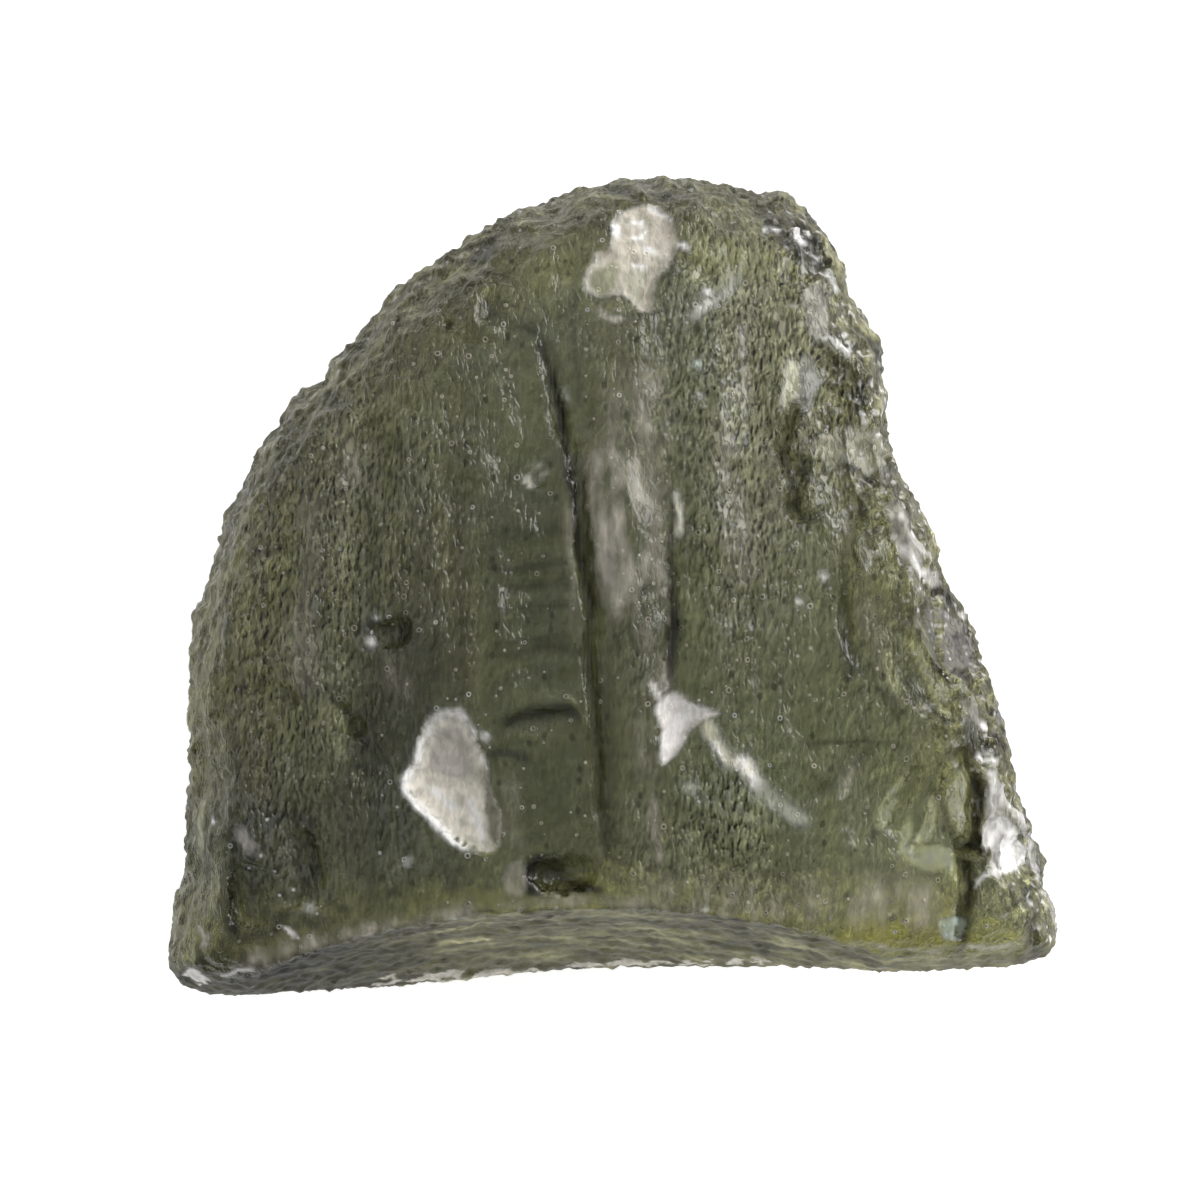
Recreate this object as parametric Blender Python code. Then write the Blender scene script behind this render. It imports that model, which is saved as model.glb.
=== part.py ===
"""A rough moldavite, a fragment of green natural glass, lying on its back.

One solid in one node. Its sculpted face looks up along +Z, its rounded end points to +Y and its broken,
hollowed end to -Y. The origin is the centre of its box, on the surface that it rests on.
"""

import math

import bmesh
import bpy
import numpy as np
from mathutils import Vector, noise

# Driving dimensions, in millimetres. The mesh is scaled to metres at the end.
WIDTH = 12.0
LENGTH = 11.05
THICKNESS = 5.0
REST_SPOT_CUT = 0.11
REST_CENTRE = (-0.1, -0.95)
EDGE_WALL = 0.35
FACE_ROUND_WIDTH = 0.85
FACE_ROUND_DROP = 1.25
BACK_ROUND_WIDTH = 1.3
BACK_ROUND_RISE = 0.8
HOLLOW_REACH = -3.9
VOXEL = 0.14
TRIANGLES_KEPT = 0.205
METRES = 0.001

# The stone's edge from above, from the lower left corner up the rounded side and round.
OUTLINE = [
    (-5.99, -5.10), (-5.80, -3.95), (-5.66, -2.75), (-5.64, -1.30), (-5.50, -0.30), (-5.22, 0.75),
    (-4.80, 1.65), (-4.25, 2.50), (-3.72, 3.05), (-3.19, 3.68), (-2.45, 4.30), (-1.50, 4.90),
    (-0.75, 5.30), (0.00, 5.50), (0.80, 5.53), (1.60, 5.38), (2.25, 5.20), (2.75, 4.85),
    (3.05, 4.25), (3.27, 3.60), (3.52, 3.00), (3.64, 2.10), (3.85, 1.40), (4.25, 0.48),
    (4.72, -0.45), (4.93, -1.20), (5.15, -2.00), (5.35, -2.75), (5.62, -3.50), (5.76, -4.10),
    (6.00, -4.60), (5.88, -4.98), (5.30, -5.16), (4.00, -5.19), (2.20, -5.17), (0.40, -5.26),
    (-1.20, -5.38), (-2.85, -5.50), (-4.40, -5.52), (-5.55, -5.52),
]

# Long furrows that acids etched along the flow of the glass: points, width and depth.
FURROWS = [
    ([(-0.97, 3.40), (-0.84, 2.55), (-0.60, 1.80), (-0.50, 0.90), (-0.38, -0.20), (-0.20, -1.50),
      (-0.11, -3.95)], 0.16, 0.34),
    ([(0.78, 1.20), (0.80, 0.50), (0.80, -0.25), (0.84, -0.60), (0.77, -1.40)], 0.14, 0.30),
    ([(-3.10, 2.40), (-3.35, 0.80), (-3.45, -1.00), (-3.25, -2.90)], 0.28, 0.10),
    ([(-4.35, 1.20), (-4.60, -0.60), (-4.65, -2.60)], 0.30, 0.12),
    ([(-4.20, -3.30), (-4.15, -4.40)], 0.28, 0.18),
    ([(1.75, 2.90), (1.85, 1.10), (1.70, -0.60)], 0.30, 0.10),
    ([(3.05, 0.90), (3.12, -0.10), (3.18, -1.00)], 0.14, 0.14),
    ([(4.82, -2.40), (4.80, -3.40), (4.66, -4.95)], 0.16, 0.30),
]

# Broad rolls between the furrows: centre, half widths and height, where a minus is a hollow.
ROLLS = [
    ((-1.25, 0.40), (0.60, 3.60), -0.16), ((0.25, -0.10), (0.45, 2.60), 0.18),
    ((-2.60, -0.20), (0.70, 2.80), 0.12), ((-4.00, -0.60), (0.45, 2.20), 0.10),
    ((1.30, 0.60), (0.40, 1.90), 0.12), ((2.40, -1.60), (1.10, 1.60), -0.16),
    ((1.40, 4.05), (0.90, 0.70), -0.14), ((-1.90, 3.60), (0.80, 0.60), 0.10),
    ((3.90, -3.10), (0.70, 1.00), -0.22), ((-5.05, -3.40), (0.30, 1.20), 0.10),
]

# Chips and etched pits in the sculpted face: centre, half widths, turn in degrees and depth.
PITS = [
    ((-2.20, -2.62), (0.62, 0.95), 12, 0.36), ((0.30, 4.55), (0.52, 0.72), 8, 0.34),
    ((0.95, -1.80), (0.40, 0.36), 0, 0.30), ((1.55, -2.35), (0.26, 0.72), 48, 0.24),
    ((-0.70, -3.88), (0.50, 0.30), 0, 0.42), ((-1.05, 1.55), (0.24, 0.24), 0, 0.16),
    ((-3.05, -0.55), (0.30, 0.26), 20, 0.16), ((-1.66, 3.88), (0.28, 0.24), 0, 0.14),
    ((-3.40, 3.10), (0.30, 0.22), 40, 0.18), ((-4.90, -4.20), (0.34, 0.50), 0, 0.20),
    ((3.00, 1.75), (0.50, 1.05), 6, 0.30), ((2.62, 2.60), (0.34, 0.50), 0, 0.24),
    ((4.30, -1.30), (0.40, 0.62), 30, 0.26), ((5.20, -3.50), (0.32, 0.40), 10, 0.34),
    ((2.55, 4.20), (0.36, 0.44), 30, 0.20), ((3.60, 0.55), (0.34, 0.42), 25, 0.24),
    ((4.90, -2.60), (0.30, 0.42), 15, 0.22),
]

# Transverse steps in the smooth channel left of the long furrow: ends and height.
STEPS = [
    ((-1.62, -1.86), (-0.50, -1.60), 0.22), ((-1.60, 0.05), (-0.55, 0.12), 0.07),
    ((-1.40, -0.92), (-0.55, -0.80), 0.08), ((-1.55, 0.55), (-0.60, 0.62), 0.06),
]


def remove_everything():
    for thing in list(bpy.data.objects):
        bpy.data.objects.remove(thing, do_unlink=True)


def smooth_closed_curve(corners, per_side):
    """A Catmull-Rom curve through the corners."""
    corners = np.array(corners)
    before, after = np.roll(corners, 1, axis=0), np.roll(corners, -1, axis=0)
    beyond = np.roll(corners, -2, axis=0)
    points = []
    for t in np.linspace(0.0, 1.0, per_side, endpoint=False):
        points.append(0.5 * (2 * corners + (after - before) * t
                             + (2 * before - 5 * corners + 4 * after - beyond) * t ** 2
                             + (3 * corners - before - 3 * after + beyond) * t ** 3))
    return np.stack(points, axis=1).reshape(-1, 2)


def distance_to_line(places, line):
    """The distance from each place to a line of points, and how far along the line, 0 to 1, it is met."""
    line = np.array(line, dtype=float)
    best = np.full(len(places), 1e9)
    along = np.zeros(len(places))
    for index in range(len(line) - 1):
        start, run = line[index], line[index + 1] - line[index]
        t = np.clip(((places - start) @ run) / (run @ run), 0.0, 1.0)
        gap = np.linalg.norm(places - start - t[:, None] * run, axis=1)
        nearer = gap < best
        best[nearer] = gap[nearer]
        along[nearer] = (index + t[nearer]) / (len(line) - 1)
    return best, along


def rim_height(places):
    """How high the stone's edge stands over what it rests on: thin at the left corner, high at the right."""
    x, y = places[:, 0], places[:, 1]
    return 1.75 + 0.04 * x + 0.05 * y + 0.12 * np.sin(1.1 * x + 0.7 * y)


def face_height(places):
    """The sculpted face: a low dome, highest a little below the middle."""
    x, y = places[:, 0], places[:, 1]
    return THICKNESS - 0.15 - 0.024 * (x + 0.2) ** 2 - 0.026 * (y + 1.0) ** 2


def back_height(places, edge):
    """The back: a bowl, round from its lowest place out to the edge."""
    reach = edge / (edge + np.hypot(places[:, 0] - REST_CENTRE[0], places[:, 1] - REST_CENTRE[1]))
    out = 1.0 - reach
    return (rim_height(places) - BACK_ROUND_RISE * 0.6) * out ** 2.1


def quarter_round(edge, width, height):
    """The loss of height toward the edge of a rounded shoulder."""
    inward = np.clip(1.0 - edge / width, 0.0, 1.0)
    return height * (1.0 - np.sqrt(np.clip(1.0 - inward ** 2, 0.0, 1.0)))


def make_blank():
    """A rounded slab of the outline: a domed face and a bowl-shaped back that meet in a narrow edge."""
    outline = smooth_closed_curve(OUTLINE, 6)
    closed = np.vstack([outline, outline[:1]])
    shares = [1.0, 0.985, 0.965, 0.94, 0.90, 0.84, 0.76, 0.66, 0.54, 0.40, 0.25, 0.10]
    rest = np.array(REST_CENTRE)
    bm = bmesh.new()
    rings = {"face": [], "back": []}
    for share in shares:
        places = rest + (outline - rest) * share
        edge = distance_to_line(places, closed)[0]
        front = face_height(places) - quarter_round(edge, FACE_ROUND_WIDTH, FACE_ROUND_DROP)
        back = back_height(places, edge) + quarter_round(edge, BACK_ROUND_WIDTH, BACK_ROUND_RISE)
        front = np.maximum(front, back + EDGE_WALL)
        for name, heights in (("face", front), ("back", back)):
            rings[name].append([bm.verts.new((x, y, z)) for (x, y), z in zip(places, heights)])
    count = len(outline)
    for name, loops in rings.items():
        for outer, inner in zip(loops, loops[1:]):
            for i in range(count):
                j = (i + 1) % count
                bm.faces.new((outer[i], outer[j], inner[j], inner[i]))
        bm.faces.new(loops[-1])
    for i in range(count):
        j = (i + 1) % count
        bm.faces.new((rings["face"][0][i], rings["face"][0][j], rings["back"][0][j], rings["back"][0][i]))
    bmesh.ops.recalc_face_normals(bm, faces=bm.faces)
    mesh = bpy.data.meshes.new("moldavite")
    bm.to_mesh(mesh)
    bm.free()
    stone = bpy.data.objects.new("moldavite", mesh)
    bpy.context.scene.collection.objects.link(stone)
    return stone


def add_cutter(name, centre, radii, turns=(0.0, 0.0, 0.0), segments=48):
    """A stretched ball that leaves a shell-shaped break."""
    mesh = bpy.data.meshes.new(name)
    bm = bmesh.new()
    bmesh.ops.create_uvsphere(bm, u_segments=segments, v_segments=segments // 2, radius=1.0)
    bmesh.ops.scale(bm, vec=Vector(radii), verts=bm.verts)
    bm.to_mesh(mesh)
    bm.free()
    cutter = bpy.data.objects.new(name, mesh)
    cutter.location = centre
    cutter.rotation_euler = [math.radians(turn) for turn in turns]
    cutter.hide_render = True
    cutter.display_type = "WIRE"
    bpy.context.scene.collection.objects.link(cutter)
    return cutter


def cut(stone, cutter):
    modifier = stone.modifiers.new(cutter.name, "BOOLEAN")
    modifier.operation = "DIFFERENCE"
    modifier.solver = "EXACT"
    modifier.object = cutter


def break_the_ends(stone):
    """The shell-shaped hollow across the broken end, and the flakes lost along the right side."""
    cut(stone, add_cutter("end_hollow", (-0.3, -9.08, 6.1), (8.6, 5.0, 6.6)))
    cut(stone, add_cutter("side_flake_high", (4.45, 1.90, 5.55), (1.85, 1.5, 2.0), (0.0, 0.0, 8.0)))
    cut(stone, add_cutter("side_flake_middle", (6.02, 0.10, 4.7), (2.25, 1.9, 2.4), (0.0, 0.0, 24.0)))
    cut(stone, add_cutter("side_flake_low", (7.00, -2.10, 4.6), (2.15, 1.6, 2.5), (0.0, 0.0, 12.0)))
    cut(stone, add_cutter("corner_flake", (6.40, -3.62, 4.5), (1.45, 0.85, 2.1)))
    cut(stone, add_cutter("shoulder_flake", (3.90, 4.90, 5.0), (1.50, 1.3, 1.8)))


def bake_modifiers(stone):
    """Swaps the mesh for the one that its modifiers make."""
    bpy.context.view_layer.update()
    shaped = bpy.data.meshes.new_from_object(stone.evaluated_get(bpy.context.evaluated_depsgraph_get()))
    stone.modifiers.clear()
    stone.data = shaped
    for thing in list(bpy.data.objects):
        if thing is not stone:
            bpy.data.objects.remove(thing, do_unlink=True)


def even_out(stone):
    modifier = stone.modifiers.new("even_cells", "REMESH")
    modifier.mode = "VOXEL"
    modifier.voxel_size = VOXEL
    modifier.adaptivity = 0.0


def lumps(points, size, offset):
    """Soft seeded unevenness, -1 to 1, with cells of about the given size."""
    start = Vector((offset, 0.0, 0.0))
    return np.array([noise.fractal(Vector(point) / size + start, 1.0, 2.0, 2) for point in points])


def face_relief(places):
    """What rises from and sinks into the sculpted face, in millimetres."""
    relief = np.zeros(len(places))
    for line, width, depth in FURROWS:
        gap, along = distance_to_line(places, line)
        fade = np.clip(8.0 * np.minimum(along, 1.0 - along) + 0.25, 0.0, 1.0)
        relief -= depth * fade * np.exp(-(gap / width) ** 2)
    for centre, size, height in ROLLS:
        away = ((places - centre) / size) ** 2
        relief += height * np.exp(-away.sum(axis=1))
    for centre, size, turn, depth in PITS:
        angle = math.radians(turn)
        axes = np.array([[math.cos(angle), math.sin(angle)], [-math.sin(angle), math.cos(angle)]])
        away = (((places - centre) @ axes.T / size) ** 2).sum(axis=1)
        relief -= depth * np.clip(1.0 - away, 0.0, 1.0) ** 0.6
    for start, end, height in STEPS:
        gap, along = distance_to_line(places, [start, end])
        middle = np.clip(6.0 * np.minimum(along, 1.0 - along), 0.0, 1.0)
        below = places[:, 1] - (start[1] + along * (end[1] - start[1]))
        relief += height * middle * np.exp(-(gap / 0.30) ** 2) * np.clip(below / 0.08, -1.0, 1.0)
    return relief


def sculpt(stone):
    """Adds the relief of the face, and the lumps and etched pits all over the skin."""
    mesh = stone.data
    count = len(mesh.vertices)
    points = np.empty(count * 3)
    mesh.vertices.foreach_get("co", points)
    points = points.reshape(-1, 3)
    normals = np.empty(count * 3)
    mesh.vertices.foreach_get("normal", normals)
    normals = normals.reshape(-1, 3)
    up = np.clip(normals[:, 2], 0.0, 1.0) ** 1.5
    low = points[:, 2] < REST_SPOT_CUT + 0.05
    moved = points.copy()
    moved[:, 2] += up * face_relief(points[:, :2])
    grain = 0.15 * lumps(points * (1.0, 0.6, 1.0), 1.0, 3.0)
    grain += 0.07 * lumps(points * (1.0, 0.7, 1.0), 0.5, 11.0)
    side = np.clip(1.0 - np.abs(normals[:, 2]), 0.0, 1.0)
    grain += side * 0.08 * lumps(points, 0.6, 23.0)
    hollow = np.clip(-normals[:, 1] * 2.0 - 0.2, 0.0, 1.0) * (points[:, 1] < HOLLOW_REACH)
    grain *= 1.0 - 0.75 * hollow
    grain[low] = 0.0
    moved += normals * grain[:, None]
    mesh.vertices.foreach_set("co", moved.ravel())
    mesh.update()


def thin_out(stone):
    modifier = stone.modifiers.new("fewer_facets", "DECIMATE")
    modifier.decimate_type = "COLLAPSE"
    modifier.ratio = TRIANGLES_KEPT


def flatten_rest_spot(stone):
    """Cuts the flat spot that the stone rests on, and puts the origin under the centre of its box."""
    bm = bmesh.new()
    bm.from_mesh(stone.data)
    everything = list(bm.verts) + list(bm.edges) + list(bm.faces)
    cut_parts = bmesh.ops.bisect_plane(bm, geom=everything, dist=1e-4, plane_co=(0, 0, REST_SPOT_CUT),
                                       plane_no=(0, 0, -1), clear_outer=True)["geom_cut"]
    rim = [part for part in cut_parts if isinstance(part, bmesh.types.BMEdge)]
    bmesh.ops.holes_fill(bm, edges=rim, sides=0)
    low, high = box_of(bm)
    middle = (low + high) / 2
    bmesh.ops.translate(bm, vec=(-middle.x, -middle.y, -low.z), verts=bm.verts)
    size = high - low
    bmesh.ops.scale(bm, vec=(WIDTH / size.x, LENGTH / size.y, THICKNESS / size.z), verts=bm.verts)
    bmesh.ops.scale(bm, vec=(METRES, METRES, METRES), verts=bm.verts)
    bmesh.ops.recalc_face_normals(bm, faces=bm.faces)
    bm.to_mesh(stone.data)
    bm.free()


def box_of(bm):
    corners = np.array([vert.co[:] for vert in bm.verts])
    return Vector(corners.min(axis=0)), Vector(corners.max(axis=0))


def glass():
    """Bottle-green glass with an etched, half matt skin."""
    material = bpy.data.materials.new("moldavite_glass")
    material.use_nodes = True
    shader = material.node_tree.nodes["Principled BSDF"]
    shader.inputs["Base Color"].default_value = (0.095, 0.1, 0.055, 1.0)
    shader.inputs["Roughness"].default_value = 0.3
    shader.inputs["Metallic"].default_value = 0.0
    shader.inputs["IOR"].default_value = 1.49
    shader.inputs["Transmission Weight"].default_value = 0.8
    material.diffuse_color = (0.095, 0.1, 0.055, 1.0)
    return material


def main():
    remove_everything()
    stone = make_blank()
    break_the_ends(stone)
    bake_modifiers(stone)
    even_out(stone)
    bake_modifiers(stone)
    sculpt(stone)
    thin_out(stone)
    bake_modifiers(stone)
    flatten_rest_spot(stone)
    stone.data.materials.clear()
    stone.data.materials.append(glass())
    stone.data.shade_smooth()
    stone.data.set_sharp_from_angle(angle=math.radians(40.0))


main()
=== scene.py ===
"""A rough moldavite, olive-green natural glass, lying on its back on a pale surface and seen from above."""

import math
from types import SimpleNamespace

import bmesh
import bpy
import numpy as np
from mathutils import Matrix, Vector, noise


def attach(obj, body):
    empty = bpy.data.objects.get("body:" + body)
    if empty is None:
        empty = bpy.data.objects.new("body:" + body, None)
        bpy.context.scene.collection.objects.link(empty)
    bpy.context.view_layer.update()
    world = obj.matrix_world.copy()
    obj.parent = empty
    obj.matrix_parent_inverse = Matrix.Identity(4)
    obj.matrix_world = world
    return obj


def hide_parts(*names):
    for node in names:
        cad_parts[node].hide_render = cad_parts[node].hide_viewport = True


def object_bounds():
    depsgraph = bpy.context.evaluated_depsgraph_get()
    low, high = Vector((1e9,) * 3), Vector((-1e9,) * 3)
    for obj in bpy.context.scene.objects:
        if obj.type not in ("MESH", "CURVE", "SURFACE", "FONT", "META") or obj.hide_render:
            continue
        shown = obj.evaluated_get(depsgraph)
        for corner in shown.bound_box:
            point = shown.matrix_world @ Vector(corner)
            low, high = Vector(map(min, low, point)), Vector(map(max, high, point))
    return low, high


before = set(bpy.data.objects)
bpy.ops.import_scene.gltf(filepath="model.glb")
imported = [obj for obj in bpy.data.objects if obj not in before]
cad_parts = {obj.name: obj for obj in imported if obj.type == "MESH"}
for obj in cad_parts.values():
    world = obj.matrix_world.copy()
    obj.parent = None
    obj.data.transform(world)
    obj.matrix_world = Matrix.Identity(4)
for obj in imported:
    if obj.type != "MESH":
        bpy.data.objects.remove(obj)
cad_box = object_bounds()

# The stone is shaped in millimetres and scaled to metres when it is done.
METRES = 0.001
THICKNESS = 5.0
REST_CENTRE = (-0.1, -0.95)
REST_SPOT_CUT = 0.11
EDGE_WALL = 0.35
FACE_ROUND_WIDTH = 0.85
FACE_ROUND_DROP = 1.25
BACK_ROUND_WIDTH = 1.3
BACK_ROUND_RISE = 0.8
BOWL_CURVE = 2.1
HOLLOW_REACH = -3.9
RIM_WIDTH = 0.55
RIM_LENGTH = 37.0
STRAND_LEAN = 32.0
STRAND_SIZE = (0.60, 0.17)
NOTCH = ((-3.88, 2.80), (0.10, 0.10))
NOTCH_DEPTH = 0.16
CELL = 0.054

# Faces that look down more than BACK_TURN are merged until BACK_SHARE of all faces is left.
BACK_TURN = -0.35
BACK_SHARE = 0.72

# The camera, the surface it stands on and the tent's light.
SENSOR_WIDTH = 36.0
FLOOR_GAP = 0.03
FLOOR_HALF = 0.3
FLOOR_TONES = (0.86, 0.9)
FLOOR_GLOW = 0.72
TENT_LIGHT = 0.42
RING_LIGHT = 0.38
WINDOW_SIDE = (0.78, 0.45, 0.28)
WINDOW_LIGHT = 6.5

# Uneven patterns: how they are squeezed in x, y and z, their size, and where in the noise they start.
BROAD_LUMPS = ((1.0, 0.6, 1.0), 1.0, 3.0)
MIDDLE_LUMPS = ((1.0, 0.7, 1.0), 0.5, 11.0)
SIDE_LUMPS = ((1.0, 1.0, 1.0), 0.6, 23.0)
SIDE_FOLDS = ((1.0, 1.0, 1.0), 0.24, 29.0)
FINE_LUMPS = ((1.0, 0.8, 1.0), 0.13, 31.0)
WRINKLES = ((1.0, 0.14, 1.0), 0.16, 43.0)
STREAKS = ((1.0, 0.13, 1.0), 0.34, 57.0)
SHORT_STREAKS = ((1.0, 0.40, 1.0), 0.10, 61.0)
BROWN_STREAKS = ((1.0, 0.2, 1.0), 0.45, 67.0)
CLUMPS = ((1.0, 1.0, 1.0), 0.20, 71.0)
SWEPT = ((0.22, 0.8, 1.0), 0.13, 73.0)
WIDE_SWEPT = ((0.4, 1.0, 1.0), 0.5, 79.0)
MILK_GAPS = ((1.0, 0.3, 1.0), 0.22, 83.0)
MILK_VEINS = ((1.0, 0.12, 1.0), 0.11, 89.0)
PAINTED_SPARKLES = ((1.0, 1.0, 1.0), 0.11, 97.0)
CUP_CELLS = ((1.0, 0.62, 1.0), 0.17, 5.0)
TILTED_CELLS = ((1.0, 0.7, 1.0), 0.42, 17.0)

# How rough and how many layers deep the noise is, and what sets the cells' values and tilts apart.
FRACTAL = (1.0, 2.0, 2)
CELL_VALUES = 7.31
CELL_TILTS = 5.17
NOISE_SEED = 7

# How far each rounded ring of the slab lies from the rest centre, as a share of the way to the edge.
RING_SHARES = (1.0, 0.993, 0.985, 0.975, 0.965, 0.95, 0.93, 0.90, 0.87, 0.84, 0.80, 0.76, 0.70, 0.62, 0.54,
               0.45, 0.36, 0.27, 0.18, 0.09)

# Shell-shaped breaks, each left by a stretched ball: centre, half widths and turn in degrees.
BREAKS = [
    ((-0.3, -9.08, 6.1), (8.6, 5.0, 6.6), 0.0), ((4.45, 1.90, 5.55), (1.85, 1.5, 2.0), 8.0),
    ((6.02, 0.10, 4.7), (2.25, 1.9, 2.4), 24.0), ((7.00, -2.10, 4.6), (2.15, 1.6, 2.5), 12.0),
    ((6.40, -3.62, 4.5), (1.45, 0.85, 2.1), 0.0), ((3.90, 4.90, 5.0), (1.50, 1.3, 1.8), 0.0),
]

# The camera looks straight down. The lists below were drawn on a level plane at DRAWN_AT as it shows there.
# They are in hundredths of a millimetre, and a line or an outline has x and y in turn.
EYE = (-0.18, -0.20, 47.2)
LENS = 100.0
DRAWN_AT = 2.6
PER_MILLIMETRE = 100.0

# How what is drawn wanders: size of a bend, reach, start in the noise. Then its edges, pits and steps.
WIDE_WANDER = (35.0, 5.0, 3.0)
FINE_WANDER = (11.0, 2.2, 9.0)
DENT_EDGE = 7.0
PAINT_EDGE = 6.0
PIT_ROUND = 0.6
STEP_ARCH = 6.0
STEP_EDGE = 5.0
STEP_WIDTH = 26.0

# The stone's edge from above, from the lower left corner up the rounded side and round.
OUTLINE = [
    -599, -510, -580, -395, -566, -275, -564, -130, -550, -30, -522, 75, -480, 165, -425, 250, -372, 305,
    -319, 368, -245, 430, -150, 490, -75, 530, 0, 550, 80, 553, 160, 538, 225, 520, 275, 485, 305, 425,
    327, 360, 352, 300, 364, 210, 385, 140, 425, 48, 472, -45, 493, -120, 515, -200, 535, -275, 562, -350,
    576, -410, 600, -460, 588, -498, 530, -516, 400, -519, 220, -517, 40, -526, -120, -538, -285, -550,
    -440, -552, -555, -552,
]

LONG_FURROW = [
    -97, 332, -88, 288, -81, 247, -74, 214, -58, 181, -51, 140, -47, 87, -47, 24, -40, -12, -34, -37,
    -35, -90, -31, -182, -22, -304, -15, -396,
]

CREVICE = [
    78, 114, 80, 54, 80, -20, 77, -43, 80, -59, 72, -102, 77, -139,
]

HOOKED_LEDGE = [
    266, 247, 239, 241, 232, 219, 223, 195, 227, 173, 236, 158, 248, 143, 236, 112, 248, 99, 275, 99,
]

SIDE_CRACK = [
    462, -220, 472, -245, 484, -275, 485, -295, 480, -324, 477, -345,
]

CORNER_CRACK = [
    470, -366, 471, -431, 465, -483,
]

# Fresh chips: the corners of each.
CHIP = [
    -279, -268, -264, -234, -263, -206, -255, -185, -240, -171, -212, -167, -197, -182, -193, -206,
    -179, -227, -172, -261, -163, -289, -153, -313, -153, -344, -172, -357, -197, -347, -224, -332,
    -252, -304,
]

TOP_CHIP = [
    3, 499, 21, 519, 57, 519, 78, 496, 84, 462, 70, 437, 54, 419, 49, 381, 30, 377, 11, 401, -18, 395,
    -34, 405, -38, 428, -22, 455, -2, 464,
]

STAR = [
    74, -142, 95, -148, 110, -166, 141, -169, 108, -187, 92, -212, 70, -237, 61, -227, 64, -194, 56, -160,
]

SIDE_FACET = [
    501, -325, 513, -308, 530, -317, 544, -338, 549, -363, 542, -383, 524, -388, 506, -393, 504, -368,
]

# Furrows along the flow of the glass: line, width to the left, width to the right, and depth.
FURROWS = [
    (LONG_FURROW, 5, 12, 16), (CREVICE, 7, 5, 10),
    ([-310, 240, -335, 80, -345, -100, -325, -290], 28, 28, 10),
    ([-435, 120, -460, -60, -465, -260], 30, 30, 12), ([-420, -330, -415, -440], 28, 28, 18),
    ([175, 290, 185, 110, 170, -60], 30, 30, 10), ([310, 87, 310, -47, 324, -105], 6, 10, 14),
    (SIDE_CRACK, 8, 12, 30), (CORNER_CRACK, 6, 14, 34), (HOOKED_LEDGE, 7, 9, 22),
    ([550, -384, 567, -440, 563, -498], 7, 7, 20), ([334, -214, 307, -254, 270, -288], 10, 10, 10),
    ([370, -330, 395, -270, 410, -245], 8, 8, 14), ([408, -350, 422, -295, 440, -250], 7, 7, 14),
    ([-498, -300, -510, -390, -510, -460], 10, 10, 14), ([-410, -350, -398, -410], 10, 10, 14),
]

# Broad rolls between the furrows: centre, half widths and height, where a minus is a hollow.
ROLLS = [
    ((-125, 40), (60, 360), -3), ((25, -10), (45, 260), 18), ((-260, -20), (70, 280), 5),
    ((-400, -60), (45, 220), 10), ((130, 60), (40, 190), 12), ((240, -160), (110, 160), -16),
    ((140, 405), (90, 70), -14), ((-190, 360), (80, 60), 10), ((390, -310), (70, 100), -22),
    ((-505, -340), (30, 120), 10),
]

# Etched pits in the sculpted face: centre, half widths, turn in degrees and depth.
PITS = [
    ((-70, -392), (50, 28), 0, 30), ((-105, 155), (20, 20), 0, 12), ((-297, -62), (28, 22), 20, 18),
    ((-166, 382), (20, 26), 0, 12), ((-377, 258), (24, 18), 40, 20), ((-490, -420), (30, 50), 0, 20),
    ((300, 175), (50, 105), 6, 26), ((290, 270), (34, 50), 0, 20), ((430, -130), (40, 62), 30, 22),
    ((524, -350), (26, 40), 10, 30), ((255, 440), (36, 30), 30, 20), ((360, 55), (34, 42), 25, 20),
    ((478, -353), (22, 16), 0, 34), ((-351, -191), (14, 16), 0, 14), ((-363, -166), (10, 12), 0, 12),
    ((-441, -148), (12, 16), 0, 12), ((-221, 356), (7, 11), -30, 14), ((251, 165), (13, 13), 0, 18),
    ((100, 448), (20, 16), 0, 10), ((122, 430), (16, 16), 0, 10),
]

# How deep each chip lies.
DENTS = [
    (CHIP, 20), (TOP_CHIP, 12), (STAR, 7), (SIDE_FACET, 12),
]

# Transverse steps in the smooth channel left of the long furrow: ends and height.
STEPS = [
    ((-155, -180), (-46, -166), 7), ((-160, 2), (-55, 12), 3.5), ((-140, -92), (-55, -80), 3.5),
    ((-155, 55), (-60, 62), 3), ((-160, -110), (-100, -102), 3.5), ((-145, -216), (-95, -210), 3),
]
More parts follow.
